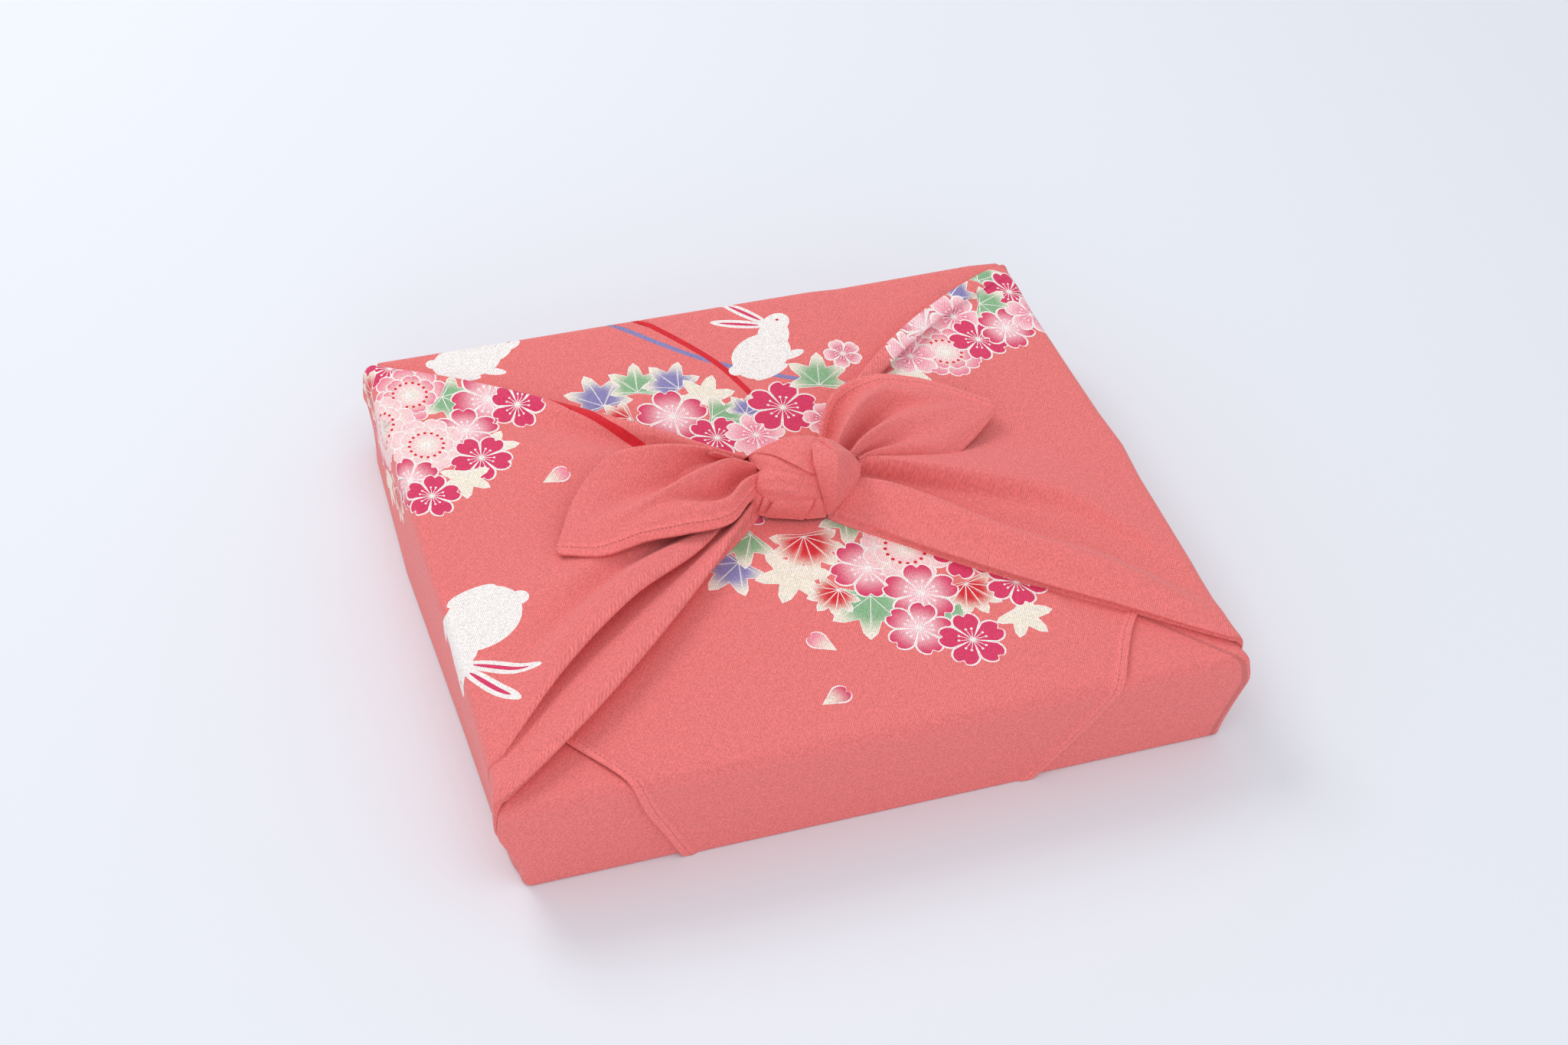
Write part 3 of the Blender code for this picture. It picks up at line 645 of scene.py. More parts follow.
def under_ring(z, inset):
    """The under layer's outline at one height, pulled in by inset."""
    half = DEPTH / 2 - inset
    inner = half - CORNER_ROUND
    turns = np.radians(np.linspace(0, 90, 5))
    straight = np.linspace(-inner, inner, RING_STEPS[0])[1:-1]
    ys = np.concatenate([-inner - CORNER_ROUND * np.sin(turns[::-1]), straight,
                         inner + CORNER_ROUND * np.sin(turns)])
    past = np.maximum(0.0, np.abs(ys) - inner)
    cut = CORNER_ROUND - np.sqrt(np.maximum(0.0, CORNER_ROUND ** 2 - past ** 2))
    ring = []
    for side in (1, -1):
        xs = side * (LENGTH / 2 - LAYER - inset - cut + side_out(side, side * ys, z))
        ring += list(zip(xs, side * ys))
        far_out = float(side_out(-side, np.array(side * half), z))
        far = -side * (LENGTH / 2 - LAYER - inset - CORNER_ROUND + far_out)
        for f in np.arange(1, RING_STEPS[1]) / RING_STEPS[1]:
            ring.append((xs[-1] + (far - xs[-1]) * f, side * half))
    return np.array(ring)


def under_layer():
    """Rings from the middle of the floor, out, up the sides and in over the top."""
    levels = [(0.0, 40.0), (0.0, 6.0), (0.0, FOOT_ROUND), (0.4, 0.3)]
    levels += [(z, 0.0) for z in np.linspace(FOOT_ROUND, UNDER_TOP - EDGE_ROUND, 24)]
    for angle in np.radians(np.linspace(15, 90, 6)):
        levels.append((UNDER_TOP - EDGE_ROUND * (1 - math.sin(angle)), EDGE_ROUND * (1 - math.cos(angle))))
    levels += [(UNDER_TOP, inset) for inset in np.linspace(EDGE_ROUND + 2, 60, 20)]
    rows = []
    for z, inset in levels:
        ring = under_ring(z, min(inset, EDGE_ROUND))
        if inset > EDGE_ROUND:
            half = np.abs(ring).max(axis=0)
            ring = ring * (1 - (inset - EDGE_ROUND) / half)
        rise = back_rise(ring[:, 0], ring[:, 1]) * ease((z - 30.0) / 10.0)
        rows.append(np.column_stack([ring, z + rise]))
    return np.array(rows)


def under_piece():
    grid = under_layer()
    count = grid.shape[1]
    round_it = np.concatenate([[0], np.cumsum(np.linalg.norm(np.diff(grid[10], axis=0), axis=1))])
    up = np.concatenate([[0], np.cumsum(np.linalg.norm(np.diff(grid[:, 40], axis=0), axis=1))])
    flat = np.stack(np.meshgrid(round_it, up), 2).reshape(-1, 2)
    faces = [tuple(range(count))[::-1]]
    for i in range(len(grid) - 1):
        for j in range(count):
            k = (j + 1) % count
            faces.append((i * count + j, i * count + k, (i + 1) * count + k, (i + 1) * count + j))
    return make_mesh("under_layer", grid.reshape(-1, 3), faces, flat, PLAIN_CREPE)


under, under_area = under_piece()

# %% [markdown]
# The back flap is the corner that came over from behind. Its two hems run slantwise down the front face
# and it is tucked under the parcel. It carries the large bouquet. Its flat measure is X and the way along
# the cloth: the same as Y on the top, and on over both bends.

# %% Layout of the print on the back flap
FLAP_PRINT = (
    # motif          x      y      size  turn
    ("rabbit",         -96,   103,   34,   -12),
    ("rabbit",         17,    80,    36,   20),
    ("iris leaf",      -52,   70,    14.5, 100),
    ("green leaf",     -36,   74,    13,   80),
    ("iris leaf",      -22,   72,    13,   120),
    ("cream leaf",     -12,   62,    13,   60),
    ("green leaf",     -9,    50,    14.5, -20),
    ("scarlet leaf",   -46,   57,    12,   190),
    ("rose blossom",   -27,   55,    14.5, 15),
    ("deep blossom",   -14,   40,    12,   50),
    ("iris leaf",      2,     52,    9.5,  60),
    ("pale blossom",   1,     38,    12,   10),
    ("deep blossom",   16,    50,    14.5, 70),
    ("green leaf",     35,    62,    14.5, 75),
    ("bud",            49,    73,    8,    30),
    ("bud",            30,    40,    9,    10),
    ("iris leaf",      -29,   -26,   14.5, 215),
    ("green leaf",     -21,   -13,   15.5, 200),
    ("cream leaf",     -8,    -34,   15.5, 235),
    ("scarlet leaf",   1,     -21,   15.5, 265),
    ("rose blossom",   -17,   4,     13,   20),
    ("green leaf",     22,    -12,   15.5, 300),
    ("green leaf",     14,    -55,   17,   250),
    ("scarlet leaf",   3,     -47,   11,   215),
    ("cream leaf",     66,    -73,   12,   300),
    ("green sprig",    41,    -66,   12,   265),
    ("double rose",    44,    -22,   14.5, 0),
    ("rose blossom",   19,    -38,   14.5, 40),
    ("double blossom", 36,    -32,   17,   10),
    ("deep blossom",   57,    -40,   13,   20),
    ("scarlet leaf",   52,    -57,   13,   280),
    ("rose blossom",   34,    -54,   14.5, 5),
    ("deep blossom",   70,    -58,   12,   50),
    ("rose blossom",   27,    -70,   13,   60),
    ("deep blossom",   44,    -80,   13,   15),
    ("petal",          -9,    -68,   6,    130),
    ("deep petal",     -13,   -93,   6,    20),
)
RED_CORD = ((-84, 170), (-58, 143), (-32, 118), (-6, 86), (4, 66), (10, 46))
IRIS_CORD = ((-70, 170), (-64, 140), (-42, 116), (-8, 84), (22, 66), (52, 54))
flap_shapes = silk_cord(IRIS_CORD, 2.2, IRIS) + silk_cord(RED_CORD, 2.6, SCARLET) + printed(FLAP_PRINT)
print("shapes in the flap's print:", len(flap_shapes))

# %% The back flap's place over the parcel
ARC_Y = DEPTH / 2 - EDGE_ROUND          # where the bend over the front or back edge starts
ARC_Z = UNDER_TOP - EDGE_ROUND


def front_way(z):
    """The flat measure of a height on the front face."""
    return -(ARC_Y + BEND + ARC_Z - z)


# Half widths of the flap, left and right, at places along it
FLAP_HEM = (
    (front_way(0.6),    72.0,  61.0),
    (front_way(18.0),   80.5,  74.0),
    (front_way(30.0),   86.5,  82.0),
    (-111.0,            92.0,  90.0),
    (-90.0,            107.0, 102.0),
    (-60.0,            129.0, 126.0),
    (-40.0,            129.0, 129.0),
    (-front_way(0.6),  129.0, 129.0),
)
# Soft swells and dents of the flap: x, y, half length, half width, turn, height
FLAP_SWELLS = (
    (-40.0,  -95.0, 60.0, 9.0,   4.0,   0.35),
    (60.0,   -98.0, 40.0, 8.0,  -8.0,   0.40),
    (-60.0,  100.0, 50.0, 9.0,   6.0,   0.40),
    (60.0,    96.0, 45.0, 10.0, -10.0,  0.50),
    (10.0,   -60.0, 50.0, 14.0,  20.0, -0.25),
    (71.0,   -67.0, 10.0, 3.2,  -62.0,  1.10),
    (81.0,   -72.0, 9.0,  2.8,  -70.0,  1.00),
)
HEM_WIDE = 4.0
HEM_SQUARE = 0.85              # the hems slant, so a step along X is this much less square to them
HEM_LONG = 1.15                # and a step along the flap is this much more along them


def swells(rows, x, y):
    """Height of soft bumps, each with its own place, half sizes and turn."""
    total = np.zeros_like(x)
    for at_x, at_y, long, wide, turn, height in rows:
        c, s = math.cos(math.radians(turn)), math.sin(math.radians(turn))
        along, across = (x - at_x) * c + (y - at_y) * s, (y - at_y) * c - (x - at_x) * s
        total += height * np.exp(-(along / long) ** 2 - (across / wide) ** 2)
    return total


def flap_hem(flat):
    """How far along a side hem each point is, and how far in from it."""
    x, way = flat.T
    left, right = column(FLAP_HEM, 1, way), column(FLAP_HEM, 2, way)
    inside = np.minimum(x + left, right - x) * HEM_SQUARE
    return np.stack([way * HEM_LONG, np.where(way < -60.0, inside, NO_HEM[1]), np.zeros(len(x))], 1)


def flap_space(flat):
    """Places and upward directions of the flap's flat points."""
    x, way = flat.T
    bend = np.clip(np.abs(way) - ARC_Y, 0, BEND) / ROUND
    down = np.maximum(np.abs(way) - ARC_Y - BEND, 0)
    lift = swells(FLAP_SWELLS, x, way) + 0.7 * (1 - ease((flap_hem(flat)[:, 1] - HEM_WIDE + 0.5) / 1.0))
    y = np.sign(way) * (np.minimum(np.abs(way), ARC_Y) + (ROUND + lift) * np.sin(bend))
    z = ARC_Z + (ROUND + lift) * np.cos(bend) - down + back_rise(x, y) * np.cos(bend)
    return np.stack([x, y, z], 1), np.stack([0 * x, np.sign(way) * np.sin(bend), np.cos(bend)], 1)


def flap_outline():
    ways = np.arange(FLAP_HEM[0][0], FLAP_HEM[-1][0], 2.0)
    places = [row[0] for row in FLAP_HEM]
    left = np.stack([-smooth_through(places, [row[1] for row in FLAP_HEM], ways), ways], 1)
    right = np.stack([smooth_through(places, [row[2] for row in FLAP_HEM], ways), ways], 1)
    front = np.linspace(left[0], right[0], 70)[1:-1]
    back = np.linspace(right[-1], left[-1], 130)[1:-1]
    return np.vstack([left[::-1], front, right, back])


def flap_rim(flat):
    return 0.45, 0.5, 0.2


outline = flap_outline()
hem_rows = []
for in_by in (STITCH_IN, HEM_WIDE - 0.5, HEM_WIDE, HEM_WIDE + 0.6):
    for way in np.arange(FLAP_HEM[0][0] + 1, -62, 1.5):
        left, right = (column(FLAP_HEM, k, way) for k in (1, 2))
        hem_rows += [(-left + in_by / HEM_SQUARE, way), (right - in_by / HEM_SQUARE, way)]
points = within(spread(-130, 130, FLAP_HEM[0][0], FLAP_HEM[-1][0], 1.9), outline, 0.9)
clear = flap_hem(points)[:, 1]
points = points[(clear > HEM_WIDE + 1.3)]
flap, flap_area = sheet_piece("back_flap", outline, np.vstack([points, np.array(hem_rows)]), flap_shapes,
                              flap_space, HEMMED_CREPE, flap_rim, flap_hem)

# %% [markdown]
# The arms are the two side corners. Each comes up a short side of the parcel, bends over its edge and is
# gathered into the knot, so its folds run together like the ribs of a fan. A table gives every fold: where
# it starts on the parcel's edge, where it ends in the knot, and how high it stands on the way. Between
# two folds the cloth swings over softly, or rolls and drops like a step with its lip leaning over.

# %% Folds of the arms
ARM_PLACES = (0.0, 0.25, 0.5, 0.8, 1.0)    # shares of the way to the knot of the columns below
#    name            to the next  Y of the fold                          height over the flap
LEFT_FOLDS = (
    ("back edge",    "rise",      (109.0, 92.5, 71.5, 40.4, 18.0),       (0.5, 0.6, 0.8, 4.0, 8.0)),
    ("back roll",    "soft",      (103.0, 87.5, 67.0, 37.0, 15.8),       (1.4, 2.8, 4.6, 9.0, 13.0)),
    ("cord hollow",  "soft",      (88.0, 74.0, 57.0, 31.0, 14.6),        (1.4, 1.2, 1.4, 4.0, 10.0)),
    ("back swell",   "soft",      (64.0, 54.0, 40.0, 21.5, 13.3),        (1.4, 2.8, 5.0, 9.0, 13.0)),
    ("shallow",      "soft",      (6.0, 5.0, 4.0, 7.0, 11.8),            (1.4, 1.4, 1.8, 4.5, 11.0)),
    ("third ridge",  "soft",      (-40.0, -26.0, -10.0, 2.0, 10.6),      (1.6, 3.6, 5.4, 4.2, 8.0)),
    ("dip",          "soft",      (-62.0, -40.0, -20.0, -3.5, 9.4),      (1.5, 2.4, 2.6, 2.6, 7.0)),
    ("second ridge", "soft",      (-82.0, -52.0, -29.0, -9.8, 6.6),      (2.4, 8.0, 10.6, 5.6, 8.0)),
    ("second lip",   "fall",      (-89.0, -58.0, -34.0, -13.4, 4.4),     (2.4, 7.6, 10.4, 5.6, 7.6)),
    ("tie valley",   "soft",      (-92.0, -61.0, -37.2, -16.0, 3.4),     (1.6, 1.1, 1.0, 1.2, 4.0)),
    ("front roll",   "fall",      (-104.0, -82.6, -57.4, -23.8, -0.6),   (3.6, 7.4, 8.4, 7.4, 7.6)),
    ("front edge",   "end",       (-108.5, -86.0, -60.6, -26.8, -2.6),   (0.6, 0.8, 0.8, 1.0, 2.0)),
)
RIGHT_FOLDS = (
    ("back edge",    "rise",      (108.0, 94.0, 75.0, 43.0, 15.5),       (0.5, 0.6, 0.8, 4.0, 8.0)),
    ("back roll",    "fall",      (104.0, 89.8, 71.0, 39.6, 14.6),       (1.6, 3.8, 6.0, 9.0, 12.5)),
    ("back crease",  "soft",      (99.0, 83.5, 64.5, 35.0, 13.4),        (1.4, 1.2, 1.3, 4.0, 10.0)),
    ("back swell",   "soft",      (64.0, 54.0, 42.5, 25.0, 12.2),        (1.6, 2.6, 3.8, 8.0, 12.5)),
    ("shallow",      "soft",      (10.0, 14.0, 17.5, 14.0, 10.8),        (1.5, 1.8, 2.4, 4.5, 11.0)),
    ("high ridge",   "soft",      (-62.0, -24.0, -9.8, 4.0, 9.2),        (1.8, 6.0, 9.5, 12.0, 14.0)),
    ("slope foot",   "soft",      (-74.0, -34.0, -17.5, 0.4, 7.6),       (1.5, 2.0, 2.2, 4.0, 9.0)),
    ("valley",       "soft",      (-82.0, -50.0, -30.0, -3.0, 5.6),      (1.5, 1.5, 1.4, 3.0, 8.5)),
    ("low ridge",    "soft",      (-93.0, -64.0, -42.0, -8.0, 2.6),      (2.4, 8.2, 10.4, 10.5, 10.5)),
    ("front slope",  "fall",      (-102.5, -80.2, -58.8, -30.0, -8.0),   (2.4, 3.6, 4.0, 4.2, 4.5)),
    ("front edge",   "end",       (-105.0, -82.6, -61.2, -32.4, -10.4),  (0.6, 0.8, 0.8, 1.0, 1.6)),
)
FOLDS = {-1: LEFT_FOLDS, 1: RIGHT_FOLDS}
ARM_END_X = {-1: -12.0, 1: 14.0}
HEM_MERGE = 22.0
EDGE_X = LENGTH / 2 - EDGE_ROUND       # flat measure of where the bend over a short side starts
SIDE_FOOT = EDGE_X + BEND + (TOP - EDGE_ROUND) - 1.0
LIP = 0.45                             # how far a rolled fold leans over, as a share of its height
TUCK = 0.60                            # how far the foot of that fold is tucked back in below it


def fold_lines(folds, t):
    """Where each fold lies across the arm, and its height, at shares t of the way to the knot."""
    across = np.array([smooth_through(ARM_PLACES, row[2], t) for row in folds])
    return across, np.array([smooth_through(ARM_PLACES, row[3], t) for row in folds])


def relief(folds, t, y):
    """Height of the arm's cloth over the flap, and how far it leans along Y."""
    across, lifts = fold_lines(folds, t)
    lift, lean, tucked = lifts[0].copy(), np.zeros_like(y), np.zeros_like(y)
    loose = 1 - ease((t - 0.78) / 0.2)          # the lean fades where the knot draws the cloth tight
    for k, row in enumerate(folds[:-1]):
        f = np.clip((across[k] - y) / (across[k] - across[k + 1]), 0, 1)
        step = lifts[k + 1] - lifts[k]
        swing = {"soft": ease(f), "rise": np.sqrt(1 - (1 - f) ** 2), "fall": 1 - np.sqrt(1 - f ** 2)}
        share = swing[row[1]]
        height = np.abs(step) * loose
        bulge = LIP * height * np.sin(math.pi * f)
        if row[1] == "rise":
            shift, next_tucked = bulge - TUCK * height * (1 - f) ** 3, 0 * height
        elif row[1] == "fall":
            shift, next_tucked = TUCK * height * f ** 3 - bulge, TUCK * height
        else:
            shift, next_tucked = tucked * (1 - ease(f)), 0 * height
        here = (y <= across[k]) | (k == 0)
        lift = np.where(here, lifts[k] + step * share, lift)
        lean = np.where(here, shift, lean)
        tucked = next_tucked
    return lift, lean


def arm_run(side, y):
    """How far it is from the bend at the parcel's edge to the arm's end in the knot."""
    return EDGE_X + side_out(side, y, np.full_like(y, TOP)) - side * ARM_END_X[side]


def arm_space(side):
    folds = FOLDS[side]

    def space(flat):
        inward = EDGE_X - side * flat[:, 0]
        y = flat[:, 1]
        t = np.clip(inward / arm_run(side, y), 0, 1)
        lift, lean = relief(folds, t, y)
        bend = np.clip(-inward, 0, BEND) / ROUND
        down = np.maximum(-inward - BEND, 0)
        part = 0.5 + 0.5 * np.cos(bend)
        z = TOP - EDGE_ROUND + (ROUND + (lift - LAYER) * part) * np.cos(bend) - down
        plain = np.minimum(TOP - EDGE_ROUND + ROUND * np.cos(bend) - down, TOP)
        out = EDGE_X + side_out(side, y, plain)
        out = out + np.sin(bend) * (ROUND - LAYER + (lift - LAYER) * part * ease(plain / TOP))
        ends = np.minimum(folds[0][2][0] - y, y - folds[-1][2][0])
        out = out - (down > 0) * (1 - ease((z - HEM_MERGE) / 8)) * (1 - ease(ends / 8)) * (LAYER + 0.4)
        x = side * (out - t * arm_run(side, y))
        z = z + back_rise(x, y) * np.cos(bend)
        up = np.stack([side * np.sin(bend), 0 * y, np.cos(bend)], 1)
        return np.stack([x, y + lean * np.cos(bend), z], 1), up

    return space


def arm_flat(side, t, y):
    """Flat points on top at a share t of the way to the knot."""
    return np.stack([side * (EDGE_X - t * arm_run(side, y)), y], 1)


def across_arm(folds, t, count):
    """Places across the arm at one share of its way, denser where it rolls, and which of them roll."""
    across = fold_lines(folds, np.array(t))[0]
    ys, steep = [], []
    for k, row in enumerate(folds[:-1]):
        wide = max(y - next_y for y, next_y in zip(row[2], folds[k + 1][2]))
        steps = max(9 if row[1] != "soft" else 5, int(wide / count))
        f = np.arange(steps) / steps
        if row[1] == "rise":
            f = f ** 1.6
        if row[1] == "fall":
            f = 1 - (1 - f) ** 1.6
        ys.append(across[k] + (across[k + 1] - across[k]) * f)
        steep += [row[1] != "soft"] * steps
    return np.append(np.concatenate(ys), across[-1]), steep


def arm_points(side):
    """The outline of an arm's flat cut, points inside it, and edges that follow its steep folds."""
    folds = FOLDS[side]
    start, steep = across_arm(folds, 0.0, 2.0)
    downs = np.arange(EDGE_X + 1.0, SIDE_FOOT, 1.3)
    inside = [np.stack([np.full(len(start) - 2, side * x), start[1:-1]], 1) for x in downs]
    shares = np.linspace(0, 1, 118)
    first, last = [], []
    for t in shares:
        ys, _ = across_arm(folds, t, 2.0)
        row = arm_flat(side, t, ys)
        first.append(row[0])
        last.append(row[-1])
        if 0 < t < 1:
            inside.append(row[1:-1])
        end = row
    foot = np.stack([np.full(len(start), side * SIDE_FOOT), start], 1)
    back_down = np.stack([side * downs, np.full(len(downs), start[0])], 1)
    front_down = np.stack([side * downs, np.full(len(downs), start[-1])], 1)
    outline = np.vstack([foot[::-1], back_down[::-1], first, end[1:-1], last[::-1], front_down])
    wide = len(start) - 2
    guides = [(row * wide + k, (row + 1) * wide + k) for row in range(len(downs), len(inside) - 1)
              for k in range(wide) if steep[k + 1]]
    return (outline if side > 0 else outline[::-1]), np.vstack(inside), guides


def arm_rim(side):
    def rim(flat):
        inward = EDGE_X - side * flat[:, 0]
        t = np.clip(inward / arm_run(side, flat[:, 1]), 0, 1)
        lift, _ = relief(FOLDS[side], t, flat[:, 1])
        radius = 0.45 + 0.9 * ease((t - 0.05) / 0.5)
        return radius, np.maximum(lift - 2 * radius, 0.2) + 0.5, 0.3 + 1.8 * ease((t - 0.3) / 0.6)

    return rim


print("arm points:", [len(arm_points(side)[1]) for side in (-1, 1)])

# %% Layout of the print on the arms
LEFT_PRINT = (
    # motif            x      y     size  turn
    ("rabbit",         -124,  -30,   44,   -165),
    ("cream leaf",     -158,  70,    12,   200),
    ("rose blossom",   -152,  84,    12,   20),
    ("deep blossom",   -126,  104,   12,   10),
    ("double rose",    -122,  88,    14.5, 0),
    ("green leaf",     -108,  82,    13,   -40),
    ("scarlet leaf",   -140,  98,    12,   150),
    ("double blossom", -138,  76,    15.5, 5),
    ("rose blossom",   -94,   78,    14.5, 30),
    ("deep blossom",   -84,   72,    11,   60),
    ("cream leaf",     -100,  52,    12,   -60),
    ("rose blossom",   -106,  64,    13,   10),
    ("double blossom", -122,  60,    14.5, 15),
    ("deep blossom",   -104,  48,    12,   45),
    ("cream leaf",     -112,  40,    11,   -100),
    ("rose blossom",   -132,  44,    12,   25),
    ("deep blossom",   -126,  34,    11,   70),
    ("scarlet leaf",   -148,  52,    12,   200),
    ("petal",          -80,   31,    5.5,  15),
)
RIGHT_PRINT = (
    ("cream leaf",     70,    54,    11,   190),
    ("green leaf",     118,   100,   13,   60),
    ("iris leaf",      104,   92,    11,   40),
    ("deep blossom",   128,   90,    12,   15),
    ("rose blossom",   84,    76,    13,   20),
    ("pale blossom",   100,   80,    12,   50),
    ("green leaf",     116,   84,    12,   -20),
    ("double rose",    88,    62,    14.5, 5),
    ("deep blossom",   104,   66,    12,   35),
    ("rose blossom",   118,   70,    12,   60),
    ("pale blossom",   74,    62,    11,   10),
    ("pale blossom",   132,   76,    11,   0),
)
LEFT_CORD = ((-92, 92), (-74, 73), (-60, 58), (-44, 38))
arm_shapes = {-1: silk_cord(LEFT_CORD, 2.6, SCARLET) + printed(LEFT_PRINT), 1: printed(RIGHT_PRINT)}
for side, name in ((-1, "left_arm"), (1, "right_arm")):
    outline, inside, guides = arm_points(side)
    piece, area = sheet_piece(name, outline, inside, arm_shapes[side], arm_space(side), PLAIN_CREPE,
                              arm_rim(side), guides=guides)

# %% [markdown]
# The knot is a square knot: each arm passes over and round the other. The path of the cloth inside it
# isn't followed here, only the turns that show, which run into a core. What shows is a few turns of the
# gathered cloth, like sausages of folded crepe: one across the top, one round the belly, one that hangs
# down the right side with its hem showing, and one at the back. Each turn is a table of rows along it, a
# row giving its two edges and the crown between them. The sides of a turn are drawn in to the knot's
# middle, so that neighbours meet in a deep crease.

# %% The knot's turns
KNOT_CENTRE = np.array((5.0, 0.0, 12.0))
KNOT_CORE = np.array((18.0, 10.5, 10.5))
ON_TOP = np.array((0.0, 0.0, TOP))
#    back                   limb                   middle                 crease lip
BAND_UPPER = (
    ((-13.0, 15.0, 12.0),   (-12.1, 13.2, 15.0),   (-11.6, 12.8, 15.8),   (-11.0, 12.4, 16.0)),
    ((-10.0, 16.0, 13.0),   (-8.9, 12.2, 19.0),    (-8.8, 11.2, 19.8),    (-8.7, 9.6, 20.0)),
    ((-4.0, 17.0, 14.0),    (-3.6, 11.0, 22.8),    (-4.4, 8.6, 23.6),     (-5.4, 5.2, 22.8)),
    ((2.0, 17.0, 15.0),     (1.6, 9.6, 25.6),      (0.0, 5.2, 26.4),      (-2.4, 0.2, 24.4)),
    ((7.0, 16.5, 16.0),     (6.5, 8.0, 26.8),      (4.0, 2.4, 27.2),      (1.2, -3.8, 24.4)),
    ((12.0, 15.0, 16.0),    (11.2, 7.0, 26.2),     (8.5, 1.0, 26.4),      (5.2, -6.4, 22.8)),
    ((17.0, 13.0, 15.0),    (15.7, 6.0, 23.6),     (12.5, 0.0, 24.0),     (9.5, -7.0, 21.0)),
)
#    under the lip          middle                 lower edge
BAND_LOWER = (
    ((-11.6, 13.2, 15.0),   (-11.4, 12.6, 14.6),   (-11.3, 13.2, 13.6)),
    ((-9.0, 10.4, 19.0),    (-9.9, 8.2, 18.6),     (-10.3, 5.6, 16.0)),
    ((-5.0, 6.4, 21.8),     (-6.6, 2.0, 21.2),     (-7.2, -2.8, 17.5)),
    ((-1.8, 1.4, 23.4),     (-2.8, -2.8, 21.9),    (-2.5, -6.1, 18.0)),
    ((2.0, -2.6, 23.4),     (2.2, -5.4, 21.2),     (3.4, -6.6, 18.0)),
    ((6.0, -5.0, 22.0),     (6.6, -6.8, 20.0),     (8.4, -7.1, 18.0)),
    ((10.0, -5.4, 20.5),    (11.4, -6.8, 18.8),    (13.8, -6.0, 17.0)),
)
#    top edge               middle                 bottom edge
BELLY = (
    ((-13.0, 3.0, 13.0),    (-15.6, -1.2, 8.0),    (-14.6, -0.4, 2.6)),
    ((-10.0, 1.6, 16.0),    (-12.9, -4.2, 9.2),    (-12.6, -4.0, 2.2)),
    ((-6.3, 0.6, 17.4),     (-9.2, -6.9, 10.6),    (-8.9, -6.6, 2.0)),
    ((-1.9, -1.6, 17.8),    (-3.2, -9.4, 11.0),    (-2.2, -9.0, 2.0)),
    ((4.0, -2.2, 17.8),     (2.9, -10.6, 11.2),    (2.9, -10.6, 2.0)),
    ((9.4, -3.4, 17.4),     (8.4, -11.0, 11.0),    (7.9, -11.2, 2.0)),
    ((13.6, -4.6, 15.4),    (12.6, -10.6, 9.6),    (11.9, -11.6, 2.0)),
)
#    hem                    left face              ridge
#    right face             limb                   under
DROP = (
    ((9.5, 10.0, 20.0),     (12.5, 11.0, 21.0),    (16.0, 10.5, 20.0),
     (19.0, 9.0, 18.5),     (21.0, 7.0, 16.0),     (20.0, 6.0, 12.0)),
    ((8.8, 4.5, 26.0),      (11.5, 5.5, 26.6),     (14.8, 5.0, 26.6),
     (18.4, 4.2, 24.8),     (21.6, 3.4, 20.5),     (21.4, 3.4, 14.0)),
    ((8.7, 1.5, 27.0),      (11.5, 1.8, 27.6),     (14.9, 0.6, 27.8),
     (19.6, 1.2, 25.0),     (23.4, 1.2, 20.8),     (23.0, 2.0, 14.0)),
    ((7.5, -3.1, 27.0),     (11.4, -3.9, 27.9),    (15.4, -4.6, 28.0),
     (20.8, -2.0, 24.6),    (25.4, -0.2, 19.4),    (25.0, 1.5, 13.0)),
    ((7.1, -6.4, 25.5),     (10.8, -7.8, 26.4),    (14.9, -9.0, 26.4),
     (21.6, -4.9, 21.8),    (27.6, -1.6, 15.6),    (26.5, 1.0, 10.0)),
    ((7.5, -8.7, 22.5),     (10.4, -10.8, 22.8),   (13.5, -12.6, 22.4),
     (20.2, -8.4, 17.8),    (26.4, -4.8, 12.5),    (25.0, -2.0, 7.0)),
    ((8.3, -10.4, 18.0),    (10.5, -12.5, 17.6),   (12.6, -14.1, 16.4),
     (17.7, -11.0, 13.2),   (22.6, -7.8, 9.5),     (21.5, -5.0, 5.0)),
    ((9.5, -11.7, 13.0),    (11.0, -13.2, 11.8),   (12.4, -14.1, 10.0),
     (15.0, -12.5, 8.4),    (17.6, -10.4, 6.4),    (17.0, -8.0, 3.0)),
    ((11.3, -11.9, 5.0),    (11.9, -12.6, 4.6),    (12.5, -12.9, 4.2),
     (13.4, -12.2, 3.9),    (14.4, -11.3, 3.5),    (14.5, -10.0, 2.0)),
)
#    top edge               middle                 bottom edge
BACK_TURN = (
    ((-12.0, 8.0, 15.0),    (-14.5, 9.0, 9.0),     (-13.0, 6.0, 2.0)),
    ((-6.0, 12.0, 19.0),    (-7.0, 15.5, 10.0),    (-6.0, 11.0, 1.5)),
    ((6.0, 12.0, 20.0),     (6.0, 17.0, 10.5),     (6.0, 12.5, 1.5)),
    ((16.0, 9.0, 18.0),     (17.5, 14.0, 10.0),    (16.0, 11.0, 1.5)),
    ((23.0, 3.0, 14.0),     (25.0, 6.0, 9.0),      (22.0, 6.0, 2.0)),
)
